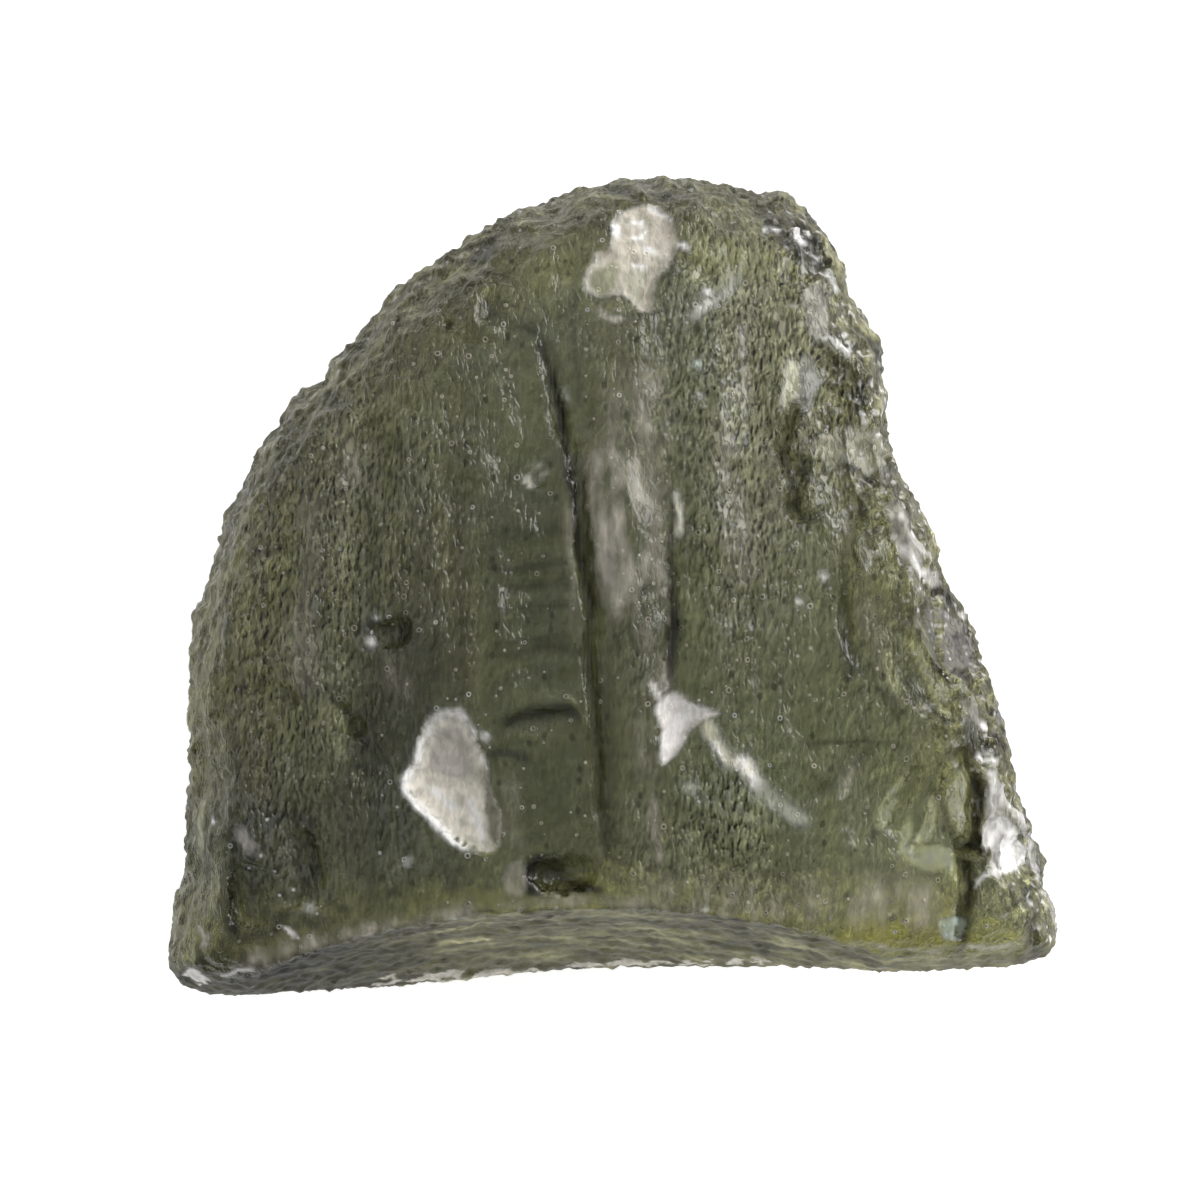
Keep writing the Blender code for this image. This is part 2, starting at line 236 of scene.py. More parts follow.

# Lines that are lighter or darker than the skin round them, among them painted shade in the furrows and the
# crevice and painted shadow under the steps: line, half width and how many times 2 lighter.
STRIPES = [
    ([-101, 338, -88, 301, -81, 272, -72, 231], 5.3, -3), ([-82, 281, -74, 241, -70, 214], 5.3, -2.5),
    ([-72, 231, -68, 194, -61, 161, -56, 114, -50, 54, -43, 13, -31, -23], 4, -4),
    ([-31, -23, -35, -47, -29, -154, -19, -274, -14, -368], 4, -1.4),
    ([-57, 187, -46, 140, -38, 74, -31, 13, -22, -27], 10.7, -1.5),
    ([-22, -94, -18, -181, -10, -274, -2, -368], 12, -0.9), ([-128, 360, -114, 355, -102, 346], 5.3, -1.2),
    ([-77, 254, -64, 207, -57, 181], 4, 0.8), ([-64, 130, -60, 74, -54, -7], 5.3, 0.9),
    ([-92, 341, -77, 312, -68, 261], 5.3, -0.6), ([78, 132, 81, 87, 76, 54, 73, -20], 3.3, -2),
    ([80, 27, 80, -20], 4, -2), ([80, -20, 80, -54, 77, -87, 73, -140], 5.3, -4),
    ([78, -40, 81, -74], 8, -3), ([94, -4, 102, -20, 110, -41, 97, -74], 6.7, 0.7),
    ([101, 247, 102, 154, 97, 33], 14.7, -0.45), ([116, 54, 137, 20, 164, -9], 4, -0.8),
    ([52, 114, 56, 33, 46, -7], 4, -0.7),
    ([-148, -186, -125, -173, -92, -166, -61, -166, -49, -178], 8, -2.4),
    ([-136, -183, -92, -175, -56, -175], 8, -1), ([-62, -147, -52, -165, -41, -183], 3.3, 1.5),
    ([-168, -231, -145, -227, -120, -231], 6.7, -1.8), ([-163, -9, -112, 3, -56, 7], 6.7, -0.8),
    ([-148, -95, -114, -84, -56, -80], 6.7, -0.7), ([-152, 116, -72, 122], 5.3, -0.2),
    ([-159, 92, -69, 100], 5.3, 0.12), ([-163, 74, -65, 78], 5.3, -0.5), ([-159, 51, -64, 55], 5.3, 0.15),
    ([-163, 20, -112, 29, -64, 31], 6, -0.9), ([-152, -15, -58, -7], 5.3, 0.2),
    ([-163, -31, -112, -25, -58, -25], 5.3, -0.6), ([-152, -66, -56, -55], 5.3, 0.2),
    ([-163, -80, -125, -71, -58, -68], 5.3, -0.6), ([-155, -103, -58, -92], 5.3, 0.2),
    ([-159, -154, -72, -146], 6.7, 0.25), ([-152, -205, -56, -199], 6.7, 0.2),
    ([-152, -127, -72, -111], 8, -0.3), ([-216, 140, -207, 33, -203, -74, -208, -154], 8, -0.45),
    ([-259, 154, -243, -20, -232, -140], 10.7, -0.35),
    ([-350, -58, -320, -47, -288, -55, -280, -74], 6.7, -1.3), ([-326, -58, -296, -66], 10.7, -0.7),
    ([-442, -140, -437, -162], 5.3, -1.3), ([-419, -138, -394, -140], 4, -1.2),
    ([-385, -140, -369, -159, -354, -179], 5.3, -1.5), ([-359, -183, -344, -199, -335, -217], 6.7, -1.7),
    ([-346, -215, -338, -250], 8, -1.1), ([-375, -170, -359, -197], 6.7, 0.8),
    ([-365, -207, -363, -239], 8, 0.7), ([-405, -17, -402, -74, -413, -143], 5.3, -0.9),
    ([-390, 17, -398, -74], 8, -0.5),
    ([-470, -329, -452, -314, -430, -310, -413, -322, -403, -355, -402, -424], 6, -1.7),
    ([-433, -328, -422, -381, -415, -415], 6.7, -1.1), ([-486, -296, -489, -368, -484, -428], 6.7, -1.1),
    ([-509, -322, -512, -384, -514, -462, -505, -483], 6.7, -1.4),
    ([-532, -325, -536, -395, -548, -454], 4, 0.9), ([-514, -463, -478, -470], 8, -1.4),
    ([-453, -456, -431, -441], 6.7, -1.1), ([-419, -456, -398, -464], 5.3, -1.2),
    ([-386, -428, -358, -443], 5.3, -1.3), ([-307, -416, -288, -421], 5.3, -1),
    ([-326, -154, -323, -288, -331, -395], 16.1, -0.5), ([-359, -261, -353, -395], 13.4, -0.35),
    ([-288, -314, -272, -408], 10.7, -0.5), ([-232, -368, -219, -415], 10.7, -0.6),
    ([-443, 194, -431, 223], 4, -1.3), ([-481, 54, -462, 44, -445, 59], 5.3, -1.5),
    ([-387, 261, -366, 250], 6.7, -1.5), ([-529, -20, -521, -74], 6.7, -0.7),
    ([-292, 207, -288, 181], 5.3, -0.9), ([-304, 154, -286, 146], 5.3, -0.9),
    ([-173, 395, -171, 375, -156, 369], 6.7, -1.1), ([-159, 388, -133, 385], 4, -1.2),
    ([-223, 353, -216, 359], 4, -3), ([-177, 429, -159, 424, -145, 429], 4, -0.9),
    ([77, 450, 78, 432, 64, 420], 4, -1.8), ([52, 381, 58, 355, 73, 330], 4, -1),
    ([65, 395, 73, 357, 86, 330], 4, -0.9), ([58, 401, 65, 365, 78, 333], 3.3, 0.7),
    ([102, 381, 109, 348], 4, -0.9), ([-52, 408, -53, 341, -47, 247], 6.7, -0.6),
    ([-38, 381, -31, 274], 5.3, -0.3), ([-64, 508, -18, 495, -2, 491], 5.3, -0.8),
    ([-13, 544, 35, 539, 102, 534], 6.7, -1.2), ([254, 242, 239, 229, 231, 197, 225, 181], 4, -1.7),
    ([225, 181, 233, 159, 240, 135, 240, 114], 5.3, -1.6),
    ([240, 114, 247, 99, 266, 96, 280, 102], 3.3, -2.2), ([244, 138, 249, 106], 8, -0.6),
    ([249, 170, 255, 151], 8, -3), ([300, 194, 311, 167, 303, 157], 4, -1.6),
    ([311, 165, 332, 159, 346, 140], 4, -2), ([332, 143, 347, 143], 6.7, -2.6),
    ([338, 254, 327, 274, 332, 234], 5.3, -1.8), ([298, 314, 303, 285], 5.3, -1.2),
    ([307, 33, 307, -20], 3.3, -1), ([310, -17, 314, -76], 5.3, -1.4),
    ([310, -74, 316, -95, 324, -112], 9.4, -1.5), ([314, -111, 318, -127], 5.3, -0.8),
    ([430, -4, 450, -15, 465, -28], 5.3, -2), ([390, -127, 417, -154, 445, -189], 4, -1.5),
    ([363, -140, 390, -175], 4, -1.2), ([374, -60, 402, -44], 4, -1.2),
    ([340, -100, 357, -140, 381, -183], 4, -1), ([469, -175, 482, -205, 480, -237], 8, -2),
    ([514, -205, 521, -223], 6.7, -3), ([498, -210, 504, -231], 5.3, -1.8),
    ([249, -213, 330, -210, 390, -217], 4, -1), ([276, -277, 316, -250, 346, -218], 8, -0.9),
    ([386, -274, 357, -304, 340, -355], 4, -0.8), ([426, -274, 445, -304, 450, -341], 4, -1.2),
    ([383, -288, 357, -308], 6.7, 0.4), ([340, -261, 383, -247], 8, 0.3),
    ([480, -261, 488, -290, 485, -330], 5.3, -3.5), ([472, -338, 496, -338], 5.3, -1.6),
    ([461, -355, 480, -351, 498, -357], 6.7, -5), ([470, -368, 474, -416, 470, -443], 8, -3.2),
    ([462, -450, 473, -456, 469, -483], 5.3, -3), ([466, -483, 457, -502], 6.7, -1.2),
    ([551, -392, 560, -435, 565, -504], 8, -1.8), ([496, -371, 489, -395], 5.3, -1.5),
    ([504, -421, 530, -428], 10.7, 0.3), ([-529, -534, -470, -514, -430, -510], 4, -1.3),
    ([-419, -504, -379, -496, -350, -486], 5.3, -1.5), ([-326, -478, -286, -470, -245, -462], 4, -1),
    ([-125, -441, -98, -445, -69, -443], 5.3, -1.4), ([-18, -437, 38, -435], 4, -1),
    ([-237, -488, -192, -480, -165, -479], 2.4, 1.6), ([52, -486, 56, -487], 5.3, -3.5),
    ([-500, -528, -419, -526, -339, -512, -259, -502], 12, -0.8),
    ([-179, -467, -72, -462, 9, -462], 10.7, -0.5), ([35, -437, 116, -451, 196, -472], 4, -0.9),
]

# Broader patches: centre, half widths and how many times 2 lighter.
PATCHES = [
    ((100, 445), (10.7, 13.4), -1), ((132, 428), (10.7, 10.7), -0.9), ((106, 432), (26.8, 26.8), 0.3),
    ((9, 381), (16.1, 10.7), 0.5), ((-72, 114), (60.2, 80.3), -0.2), ((249, 355), (26.8, 80.3), 0.4),
    ((9, -288), (34.8, 80.3), 0.1), ((357, 33), (26.8, 66.9), 0.3), ((-466, -341), (100, 161), -1.5),
    ((-279, -207), (80.3, 214), -1.2), ((-112, -47), (60.2, 66.9), -0.5), ((-125, 87), (60.2, 53.5), -0.55),
    ((-279, -74), (53.5, 80.3), -0.4), ((316, -435), (161, 53.5), -0.4), ((-85, -288), (60.2, 66.9), -0.4),
    ((35, -54), (29.4, 40.1), -0.5), ((169, 435), (66.9, 60.2), 1), ((169, 247), (53.5, 93.6), 0.3),
    ((-419, 181), (80.3, 107), -0.3), ((-72, -391), (42.8, 21.4), -0.8), ((316, -381), (80.3, 80.3), 0.2),
    ((-72, 448), (66.9, 53.5), 0.2), ((521, -448), (34.8, 48.2), 0.15), ((423, -74), (33.4, 80.3), -0.5),
    ((453, -60), (29.4, 93.6), -0.4), ((-556, -154), (21.4, 201), 0.45),
]

# Bright and dark facets with an edge of their own; the bright ones on the broken right side are painted
# reflections. Corners and how many times 2 lighter.
FEATHERS = [
    ([-117, -419, -121, -395, -112, -371, -90, -361, -69, -371, -64, -389, -39, -397, -21, -408, -23, -417,
      -72, -416], -1.7),
    ([-120, -419, -122, -395, -113, -371, -92, -363, -104, -379, -108, -400, -104, -417], -3),
    ([-77, -392, -52, -400, -22, -408, -21, -416, -52, -412], -2),
    ([-433, -161, -386, -154, -359, -174, -363, -234, -373, -274, -419, -288, -453, -274, -457, -207],
      0.45), ([-462, -334, -441, -321, -430, -355, -430, -428, -462, -437], 0.35),
    ([-195, 448, -181, 468, -163, 480, -152, 472, -165, 455, -181, 445], -1.4),
    ([-179, 408, -152, 448, -85, 455, -65, 395, -112, 365, -152, 381], 0.25),
    ([196, 515, 236, 504, 270, 482, 279, 448, 274, 424, 249, 445, 223, 466, 203, 486], -1.5),
    ([403, -87, 417, -84, 437, -127, 450, -170, 442, -175, 423, -140, 407, -107], 2),
    ([357, -94, 370, -87, 386, -140, 378, -146], 1.4), ([390, -74, 402, -63, 413, -82, 399, -95], 1.2),
    ([348, -325, 359, -288, 383, -261, 387, -272, 365, -322], 1.7),
    ([405, -344, 421, -288, 434, -292, 423, -344], 1.9),
    ([383, -349, 413, -355, 445, -355, 453, -379, 418, -384, 389, -365], 1.5),
    ([446, -288, 457, -254, 474, -250, 472, -328, 460, -330], 1.8),
    ([386, -344, 394, -312, 399, -336, 394, -352], 1.5),
    ([447, -363, 458, -365, 466, -395, 461, -416, 450, -389], 1.3),
    ([169, -274, 209, -301, 196, -368, 163, -355], 0.3),
    ([116, -395, 223, -421, 236, -468, 116, -455], -0.35),
    ([330, -395, 383, -421, 390, -462, 316, -462], 0.25),
    ([116, 482, 176, 455, 167, 424, 136, 408, 102, 415, 92, 462], 0.5),
]

# What the frosted and bruised places and the painted highlights are coloured.
CREAM = (0.90, 0.85, 0.75)
WHITE = (0.97, 0.955, 0.93)
STONE_GREY = (0.64, 0.60, 0.55)
LILAC = (0.95, 0.90, 0.87)
PALE_BLUE = (0.50, 0.58, 0.54)
MILKY_SHEEN = (0.40, 0.37, 0.315)
DULL_OLIVE = (0.185, 0.178, 0.096)
PLAIN_POWDER = 0.60

# The hues of the clear skin. The last of them gives the direction of a painted light: fine relief that leans
# toward it is painted lighter, and relief that leans away is painted darker.
OLIVE = (0.222, 0.225, 0.160)
GREENER_OLIVE = (0.250, 0.258, 0.166)
BROWNER_OLIVE = (0.225, 0.200, 0.112)
PALER_OLIVE = (0.310, 0.300, 0.235)
THIN_OLIVE = (0.300, 0.272, 0.132)
HOLLOW_OLIVE = (0.500, 0.470, 0.130)
PAINT_STRENGTH = 1.5
PAINTED_LIGHT_FROM = (-0.55, 0.80, 0.0)

# The body of the glass, and the frosted skin over it, which also carries the painted highlights.
GLASS_IOR = 1.49
GLASS_TINT = (0.45, 0.50, 0.12, 1.0)
GLASS_DENSITY = 300.0
CLEAR_TRANSMISSION = 0.9
CLEAR_SPECULAR = 0.08
FROSTED_TRANSMISSION = 0.08
FROSTED_ROUGHNESS = 0.45
FROSTED_SPECULAR = 0.1
SIDE_ETCHED = 0.8
RIM_ETCHED = 0.9
BUMP_METRES = 0.00003

# The skin's strokes, open bubbles and dark specks: how many to a metre, and how they are shifted. The shifted
# strokes paint light and shade beside each stroke, as on raised relief. The bubbles carry painted highlights,
# and the specks painted shade of pits.
STROKE_STRETCH = (1000.0, 440.0, 1000.0)
PAINTED_EMBOSS_SHIFT = (0.020, -0.010, 0.0)
BUBBLES_PER_METRE = 4800.0
SPECK_STRETCH = (4100.0, 2900.0, 4100.0)
SPECK_START = (3.3, 7.1, 1.9)

# Frosted faces and painted reflections: the pale chips and the white facet on the right side stand for light
# reflected from fresh breaks, and the grey in the upper part of the left chip is painted shade. Corners,
# colour, amount.
FACETS = [
    (CHIP, CREAM, 0.95),
    ([-245, -217, -236, -195, -216, -187, -203, -203, -197, -226, -189, -245, -197, -260, -219, -256, -245,
      -246], STONE_GREY, 0.8),
    ([-173, -237, -165, -288, -155, -317, -156, -344, -168, -338, -176, -288], (0.4, 0.37, 0.32), 0.6),
    (TOP_CHIP, (0.77, 0.71, 0.61), 0.8),
    ([-31, 419, -18, 440, -2, 444, 6, 429, -5, 405, -21, 397], (0.62, 0.6, 0.44), 0.6),
    ([17, 432, 35, 440, 43, 421, 35, 381, 22, 392], (0.74, 0.7, 0.58), 0.6), (STAR, LILAC, 0.95),
    (SIDE_FACET, WHITE, 1),
    ([498, -277, 517, -264, 533, -296, 541, -322, 520, -296, 504, -317, 496, -301], (0.62, 0.6, 0.58), 0.8),
    ([310, 214, 336, 221, 357, 207, 365, 181, 343, 154, 323, 161, 314, 187], (0.62, 0.6, 0.5), 0.45),
    ([270, 197, 287, 210, 306, 194, 303, 173, 282, 170], (0.5, 0.48, 0.38), 0.55),
    ([227, 301, 239, 309, 247, 288, 244, 254, 233, 243, 223, 253, 228, 277], (0.68, 0.66, 0.5), 0.75),
    ([248, 306, 266, 314, 271, 281, 266, 250, 249, 247], (0.4, 0.4, 0.38), 0.6),
    ([254, 401, 274, 415, 288, 381, 284, 338, 266, 346, 256, 375], (0.52, 0.5, 0.45), 0.45),
    ([365, 114, 386, 107, 399, 74, 413, 33, 394, 39, 375, 74], (0.45, 0.43, 0.41), 0.6),
    ([407, 27, 429, 23, 439, 7, 426, -1], (0.66, 0.64, 0.6), 0.7),
    ([423, -28, 447, -36, 466, -49, 482, -87, 485, -120, 472, -140, 450, -130, 434, -94], (0.27, 0.25,
      0.26), 0.4), ([466, -154, 485, -161, 504, -187, 496, -194, 477, -178], (0.36, 0.34, 0.34), 0.55),
    ([437, -456, 457, -448, 472, -458, 466, -475, 456, -482, 439, -475], PALE_BLUE, 0.75),
    ([-587, -534, -572, -523, -553, -531, -545, -539, -559, -546, -580, -553, -591, -550], WHITE, 0.85),
    ([-145, -384, -125, -376, -120, -403, -128, -421, -146, -416], (0.46, 0.42, 0.37), 0.5),
]

# Bright lines and dots, most of them painted highlights along chip edges, ledges and bumps, and some pale
# lines of the glass: line, half width, colour, amount.
PAINTED_GLINTS_AND_PALE_LINES = [
    ([-197, -181, -212, -169, -232, -170, -249, -183, -260, -210, -266, -237, -283, -264, -283, -276], 5.6,
      WHITE, 1), ([-283, -276, -262, -296, -237, -326, -217, -345, -197, -355], 5.6, WHITE, 1),
    ([-193, -186, -189, -210], 3.3, WHITE, 0.8), ([-181, -229, -173, -250], 3.3, WHITE, 0.7),
    ([-245, -274, -216, -304], 5.3, WHITE, 0.6), ([-197, -288, -181, -322, -179, -344], 4, WHITE, 0.6),
    ([-235, -214, -203, -218], 3.3, (0.62, 0.58, 0.52), 0.7), ([2, 499, 3, 480], 4.7, WHITE, 1),
    ([22, 498, 37, 499, 42, 486, 35, 474, 25, 480], 3.3, WHITE, 1), ([42, 462, 56, 454], 4, WHITE, 0.9),
    ([68, 470, 73, 451], 4, CREAM, 1), ([25, 440, 42, 437], 4, WHITE, 0.9),
    ([-34, 432, -23, 443, -10, 443], 4, CREAM, 0.7), ([46, 518, 62, 507, 78, 499], 4, WHITE, 0.7),
    ([-22, 381, -10, 371, 11, 365], 4, CREAM, 0.4), ([88, 470, 98, 462], 4, WHITE, 0.9),
    ([124, 405, 128, 403], 4, WHITE, 0.9),
    ([68, -221, 74, -195, 90, -175, 104, -166, 124, -166], 4.7, WHITE, 0.9),
    ([78, -150, 92, -155], 5.3, WHITE, 0.9), ([52, -130, 62, -155], 5.3, LILAC, 0.6),
    ([121, -186, 136, -210, 152, -239], 8, (0.64, 0.62, 0.46), 0.85),
    ([132, -210, 142, -231], 4, WHITE, 0.6), ([161, -231, 180, -247, 199, -274], 9.4, CREAM, 0.85),
    ([167, -229, 175, -245], 4, WHITE, 0.8), ([185, -256, 196, -272], 4.7, WHITE, 0.8),
    ([199, -274, 223, -296, 252, -320], 9.4, (0.44, 0.46, 0.38), 0.6),
    ([548, -364, 525, -379, 498, -389, 481, -411], 3.3, WHITE, 0.9),
    ([514, -320, 530, -344, 533, -365], 6.7, WHITE, 1),
    ([541, -304, 560, -355, 571, -400], 5.3, (0.7, 0.68, 0.66), 0.7),
    ([504, -309, 498, -355], 4, (0.75, 0.72, 0.7), 0.8),
    ([573, -411, 589, -428, 597, -468], 3.3, (0.66, 0.64, 0.58), 0.7),
    ([587, -478, 581, -488], 4, WHITE, 0.8),
    ([472, -488, 504, -494, 533, -488], 3.3, (0.6, 0.58, 0.5), 0.6),
    ([102, 367, 122, 385, 153, 407, 167, 424], 6.7, (0.46, 0.46, 0.42), 0.55),
    ([112, 377, 126, 389], 4, WHITE, 0.5), ([84, 127, 89, 103, 85, 71], 4, (0.78, 0.76, 0.62), 0.95),
    ([354, 207, 359, 213], 5.3, WHITE, 1), ([240, 488, 249, 472, 258, 467], 3.3, WHITE, 0.9),
    ([203, 490, 207, 486], 4, WHITE, 0.9), ([217, 491, 221, 486], 4, WHITE, 0.8),
    ([287, 432, 300, 403], 4, (0.6, 0.6, 0.56), 0.6), ([298, 341, 311, 321, 319, 330], 4, WHITE, 0.7),
    ([390, 60, 403, 31, 415, 7], 4, WHITE, 0.7), ([399, 74, 423, 39], 4, (0.6, 0.58, 0.55), 0.7),
    ([497, -183, 504, -191], 4, WHITE, 0.9), ([490, -229, 512, -239], 4, WHITE, 0.8),
    ([504, -250, 512, -274], 5.3, (0.7, 0.68, 0.66), 0.8), ([-331, -72, -328, -78], 5.3, WHITE, 0.95),
    ([-323, -41, -318, -40], 4, (0.7, 0.72, 0.68), 0.7),
    ([-179, -202, -173, -207], 6.7, (0.72, 0.73, 0.7), 0.9), ([276, 19, 278, 12], 5.3, WHITE, 0.95),
    ([247, -16, 248, -20], 4, (0.8, 0.78, 0.7), 0.8), ([110, 306, 112, 304], 5.3, (0.7, 0.82, 0.7), 0.85),
    ([112, 264, 113, 260], 4, (0.6, 0.6, 0.56), 0.7), ([172, 360, 175, 312], 3.3, (0.6, 0.6, 0.58), 0.5),
    ([-114, 154, -117, 143, -109, 138], 4, (0.6, 0.58, 0.48), 0.7),
    ([-108, 165, -98, 167], 4, (0.6, 0.58, 0.48), 0.7), ([-98, 151, -90, 159], 3.3, (0.6, 0.58, 0.48), 0.6),
    ([-283, -379, -275, -371], 5.3, (0.45, 0.48, 0.42), 0.7),
    ([-502, -328, -497, -344, -490, -357], 6.7, (0.46, 0.43, 0.4), 0.6),
    ([-553, -288, -559, -328, -556, -355], 5.3, (0.42, 0.44, 0.28), 0.5),
    ([-441, -464, -435, -470, -429, -476], 2.9, WHITE, 0.9), ([-542, -317, -538, -320], 3.5, WHITE, 0.9),
    ([-413, -437, -407, -440], 6.7, (0.44, 0.47, 0.45), 0.7),
    ([-599, -496, -603, -518, -591, -542], 4, (0.55, 0.54, 0.5), 0.7),
    ([-559, -462, -548, -475, -553, -488], 3.3, (0.5, 0.5, 0.42), 0.6),
    ([-533, -535, -500, -523, -484, -520], 2.7, WHITE, 0.6),
    ([124, -437, 126, -443], 4.7, (0.6, 0.6, 0.56), 0.8),
    ([97, -272, 102, -277], 8, (0.45, 0.46, 0.36), 0.6), ([-69, 270, -64, 256], 4, (0.5, 0.54, 0.48), 0.5),
]

# Grey and faintly lilac milky streaks, partly a painted sheen where the ridge and the plateau reflect the
# light: line, half width, amount.
MILKY_SHEEN_STREAKS = [
    ([1, 274, 6, 194], 16.1, 0.3), ([35, 301, 46, 194, 49, 87, 46, 7], 21.4, 0.35),
    ([35, -33, 56, -87, 65, -140], 13.4, 0.5), ([-31, 186, -22, 114, -13, 47, 3, -31], 16.1, 0.95),
    ([-2, 194, 3, 114, 14, 47, 27, -20], 14.7, 0.8), ([22, 181, 33, 87, 41, -20], 16.1, 0.6),
    ([58, 33, 68, -20, 62, -74], 6.7, 0.55), ([19, -127, 35, -194, 35, -261], 21.4, 0.15),
    ([49, -288, 54, -341, 60, -371], 8, 0.6), ([35, -314, 49, -395], 21.4, 0.12),
    ([-419, 127, -409, 33, -419, -74, -433, -154], 21.4, 0.28), ([-359, 221, -350, 140], 18.7, 0.22),
    ([-62, 114, -56, 33, -53, -74], 6.7, 0.35),
    ([-510, -518, -419, -486, -339, -471, -259, -455, -179, -440], 12, 0.55),
    ([-179, -437, -72, -428, 35, -432, 116, -445, 209, -464], 10.7, 0.5),
    ([-141, -261, -125, -355], 13.4, 0.25), ([-306, -94, -279, -154], 13.4, 0.2),
    ([167, 355, 176, 247], 10.7, 0.3), ([340, -20, 370, -140], 16.1, 0.2), ([9, 341, 30, 247], 13.4, 0.2),
    ([142, 221, 169, 87, 180, 7], 16.1, 0.25), ([209, 194, 216, 87], 12, 0.25),
    ([196, 408, 249, 341], 18.7, 0.3), ([303, -274, 332, -234], 10.7, 0.2),
    ([35, -424, 223, -432, 437, -451], 29.4, 0.3), ([330, -421, 423, -428], 26.8, 0.35),
    ([209, -468, 330, -486, 464, -504], 5.3, 0.5), ([311, 87, 316, 33], 8, 0.4),
]

# Where the skin is roughly or finely etched: centre, half widths and how rough.
ETCHED = [
    ((-380, 120), (170, 260), 0.85), ((-460, -220), (100, 260), 0.75), ((170, 320), (130, 220), 0.95),
    ((300, 300), (90, 220), 0.8), ((170, 40), (80, 160), 0.7), ((150, -320), (65, 95), 1.1),
    ((360, -160), (70, 140), 0.45), ((-290, -320), (90, 110), 0.35), ((40, -360), (50, 70), 0.45),
    ((210, -430), (90, 50), 0.45), ((30, -100), (35, 80), 0.45),
]

# Where its hue leans: centre, half widths and how far.
GREENER = [
    ((300, -260), (220, 240), 1), ((155, -290), (90, 160), 0.6), ((115, 40), (35, 200), 0.7),
    ((-110, 0), (60, 300), 0.4), ((-90, 420), (90, 70), 0.6),
]

BROWNER = [
    ((-205, -60), (22, 220), 0.8), ((-30, 100), (14, 120), 0.9), ((-10, -240), (16, 160), 0.7),
    ((-300, 30), (50, 140), 0.4), ((-340, -180), (40, 80), 0.3), ((10, 330), (40, 80), 0.3),
]

PALER = [
    ((50, 170), (30, 175), 0.7), ((176, 155), (55, 190), 0.8), ((195, 340), (55, 80), 0.5),
    ((120, 470), (80, 40), 0.4), ((-530, 40), (35, 130), 0.5), ((240, -440), (260, 55), 1.2),
]


def pairs(numbers):
    return np.array(numbers, dtype=float).reshape(-1, 2)


def closed(outline):
    return np.vstack([outline, outline[:1]])


def fade(values, start, end):
    """0 at the start and 1 at the end, straight in between."""
    return np.clip((values - start) / (end - start), 0.0, 1.0)


def smooth_closed_curve(corners, per_side):
    """A Catmull-Rom curve through the corners."""
    before, after = np.roll(corners, 1, axis=0), np.roll(corners, -1, axis=0)
    beyond = np.roll(corners, -2, axis=0)
    points = []
    for t in np.linspace(0.0, 1.0, per_side, endpoint=False):
        points.append(0.5 * (2 * corners + (after - before) * t
                             + (2 * before - 5 * corners + 4 * after - beyond) * t ** 2
                             + (3 * corners - before - 3 * after + beyond) * t ** 3))
    return np.stack(points, axis=1).reshape(-1, 2)


def distance_to_line(places, line):
    """Distance to a line, how far along it, 0 to 1, and which side: plus is right of it, going down."""
    best = np.full(len(places), np.inf)
    along = np.zeros(len(places))
    side = np.zeros(len(places))
    for index in range(len(line) - 1):
        start, run = line[index], line[index + 1] - line[index]
        offset = places - start
        t = np.clip((offset @ run) / (run @ run), 0.0, 1.0)
        gap = np.linalg.norm(offset - t[:, None] * run, axis=1)
        nearer = gap < best
        best[nearer] = gap[nearer]
        along[nearer] = (index + t[nearer]) / (len(line) - 1)
        side[nearer] = np.sign(offset[:, 1] * run[0] - offset[:, 0] * run[1])[nearer]
    return best, along, side


def inside_polygon(places, corners):
    inside = np.zeros(len(places), dtype=bool)
    x, y = places[:, 0], places[:, 1]
    for (ax, ay), (bx, by) in zip(corners, np.roll(corners, -1, axis=0)):
        crosses = (ay > y) != (by > y)
        at = ax + (y - ay) * (bx - ax) / np.where(by == ay, 1e-9, by - ay)
        inside ^= crosses & (x < at)
    return inside


def cover_of(places, corners, softness, share):
    """1 inside the rounded polygon and 0 outside, with the given share at its edge."""
    outline = smooth_closed_curve(pairs(corners), 3)
    gap = distance_to_line(places, closed(outline))[0]
    depth = np.where(inside_polygon(places, outline), gap, -gap)
    return np.clip(depth / softness + share, 0.0, 1.0)


def end_fade(along, steepness, least):
    """1 along a line, and less towards its ends."""
    return np.clip(steepness * np.minimum(along, 1.0 - along) + least, 0.0, 1.0)


def quarter_round(edge, width, height):
    inward = fade(edge, width, 0.0)
    return height * (1.0 - np.sqrt(np.clip(1.0 - inward ** 2, 0.0, 1.0)))


def ring_heights(places, edge):
    """How high the domed face and the bowl-shaped back lie, which meet in a narrow edge."""
    x, y = places[:, 0], places[:, 1]
    dome = THICKNESS - 0.15 - 0.024 * (x + 0.2) ** 2 - 0.026 * (y + 1.0) ** 2
    rim = 1.75 + 0.04 * x + 0.05 * y + 0.12 * np.sin(1.1 * x + 0.7 * y)
    reach = edge / (edge + np.hypot(x - REST_CENTRE[0], y - REST_CENTRE[1]))
    bowl = (rim - BACK_ROUND_RISE * 0.6) * (1.0 - reach) ** BOWL_CURVE
    face = dome - quarter_round(edge, FACE_ROUND_WIDTH, FACE_ROUND_DROP)
    back = bowl + quarter_round(edge, BACK_ROUND_WIDTH, BACK_ROUND_RISE)
    return np.maximum(face, back + EDGE_WALL), back


def join_rings(bm, outer, inner):
    for i in range(len(outer)):
        j = (i + 1) % len(outer)
        bm.faces.new((outer[i], outer[j], inner[j], inner[i]))


def add_object(name, bm):
    mesh = bpy.data.meshes.new(name)
    bm.to_mesh(mesh)
    bm.free()
    made = bpy.data.objects.new(name, mesh)
    bpy.context.scene.collection.objects.link(made)
    return made


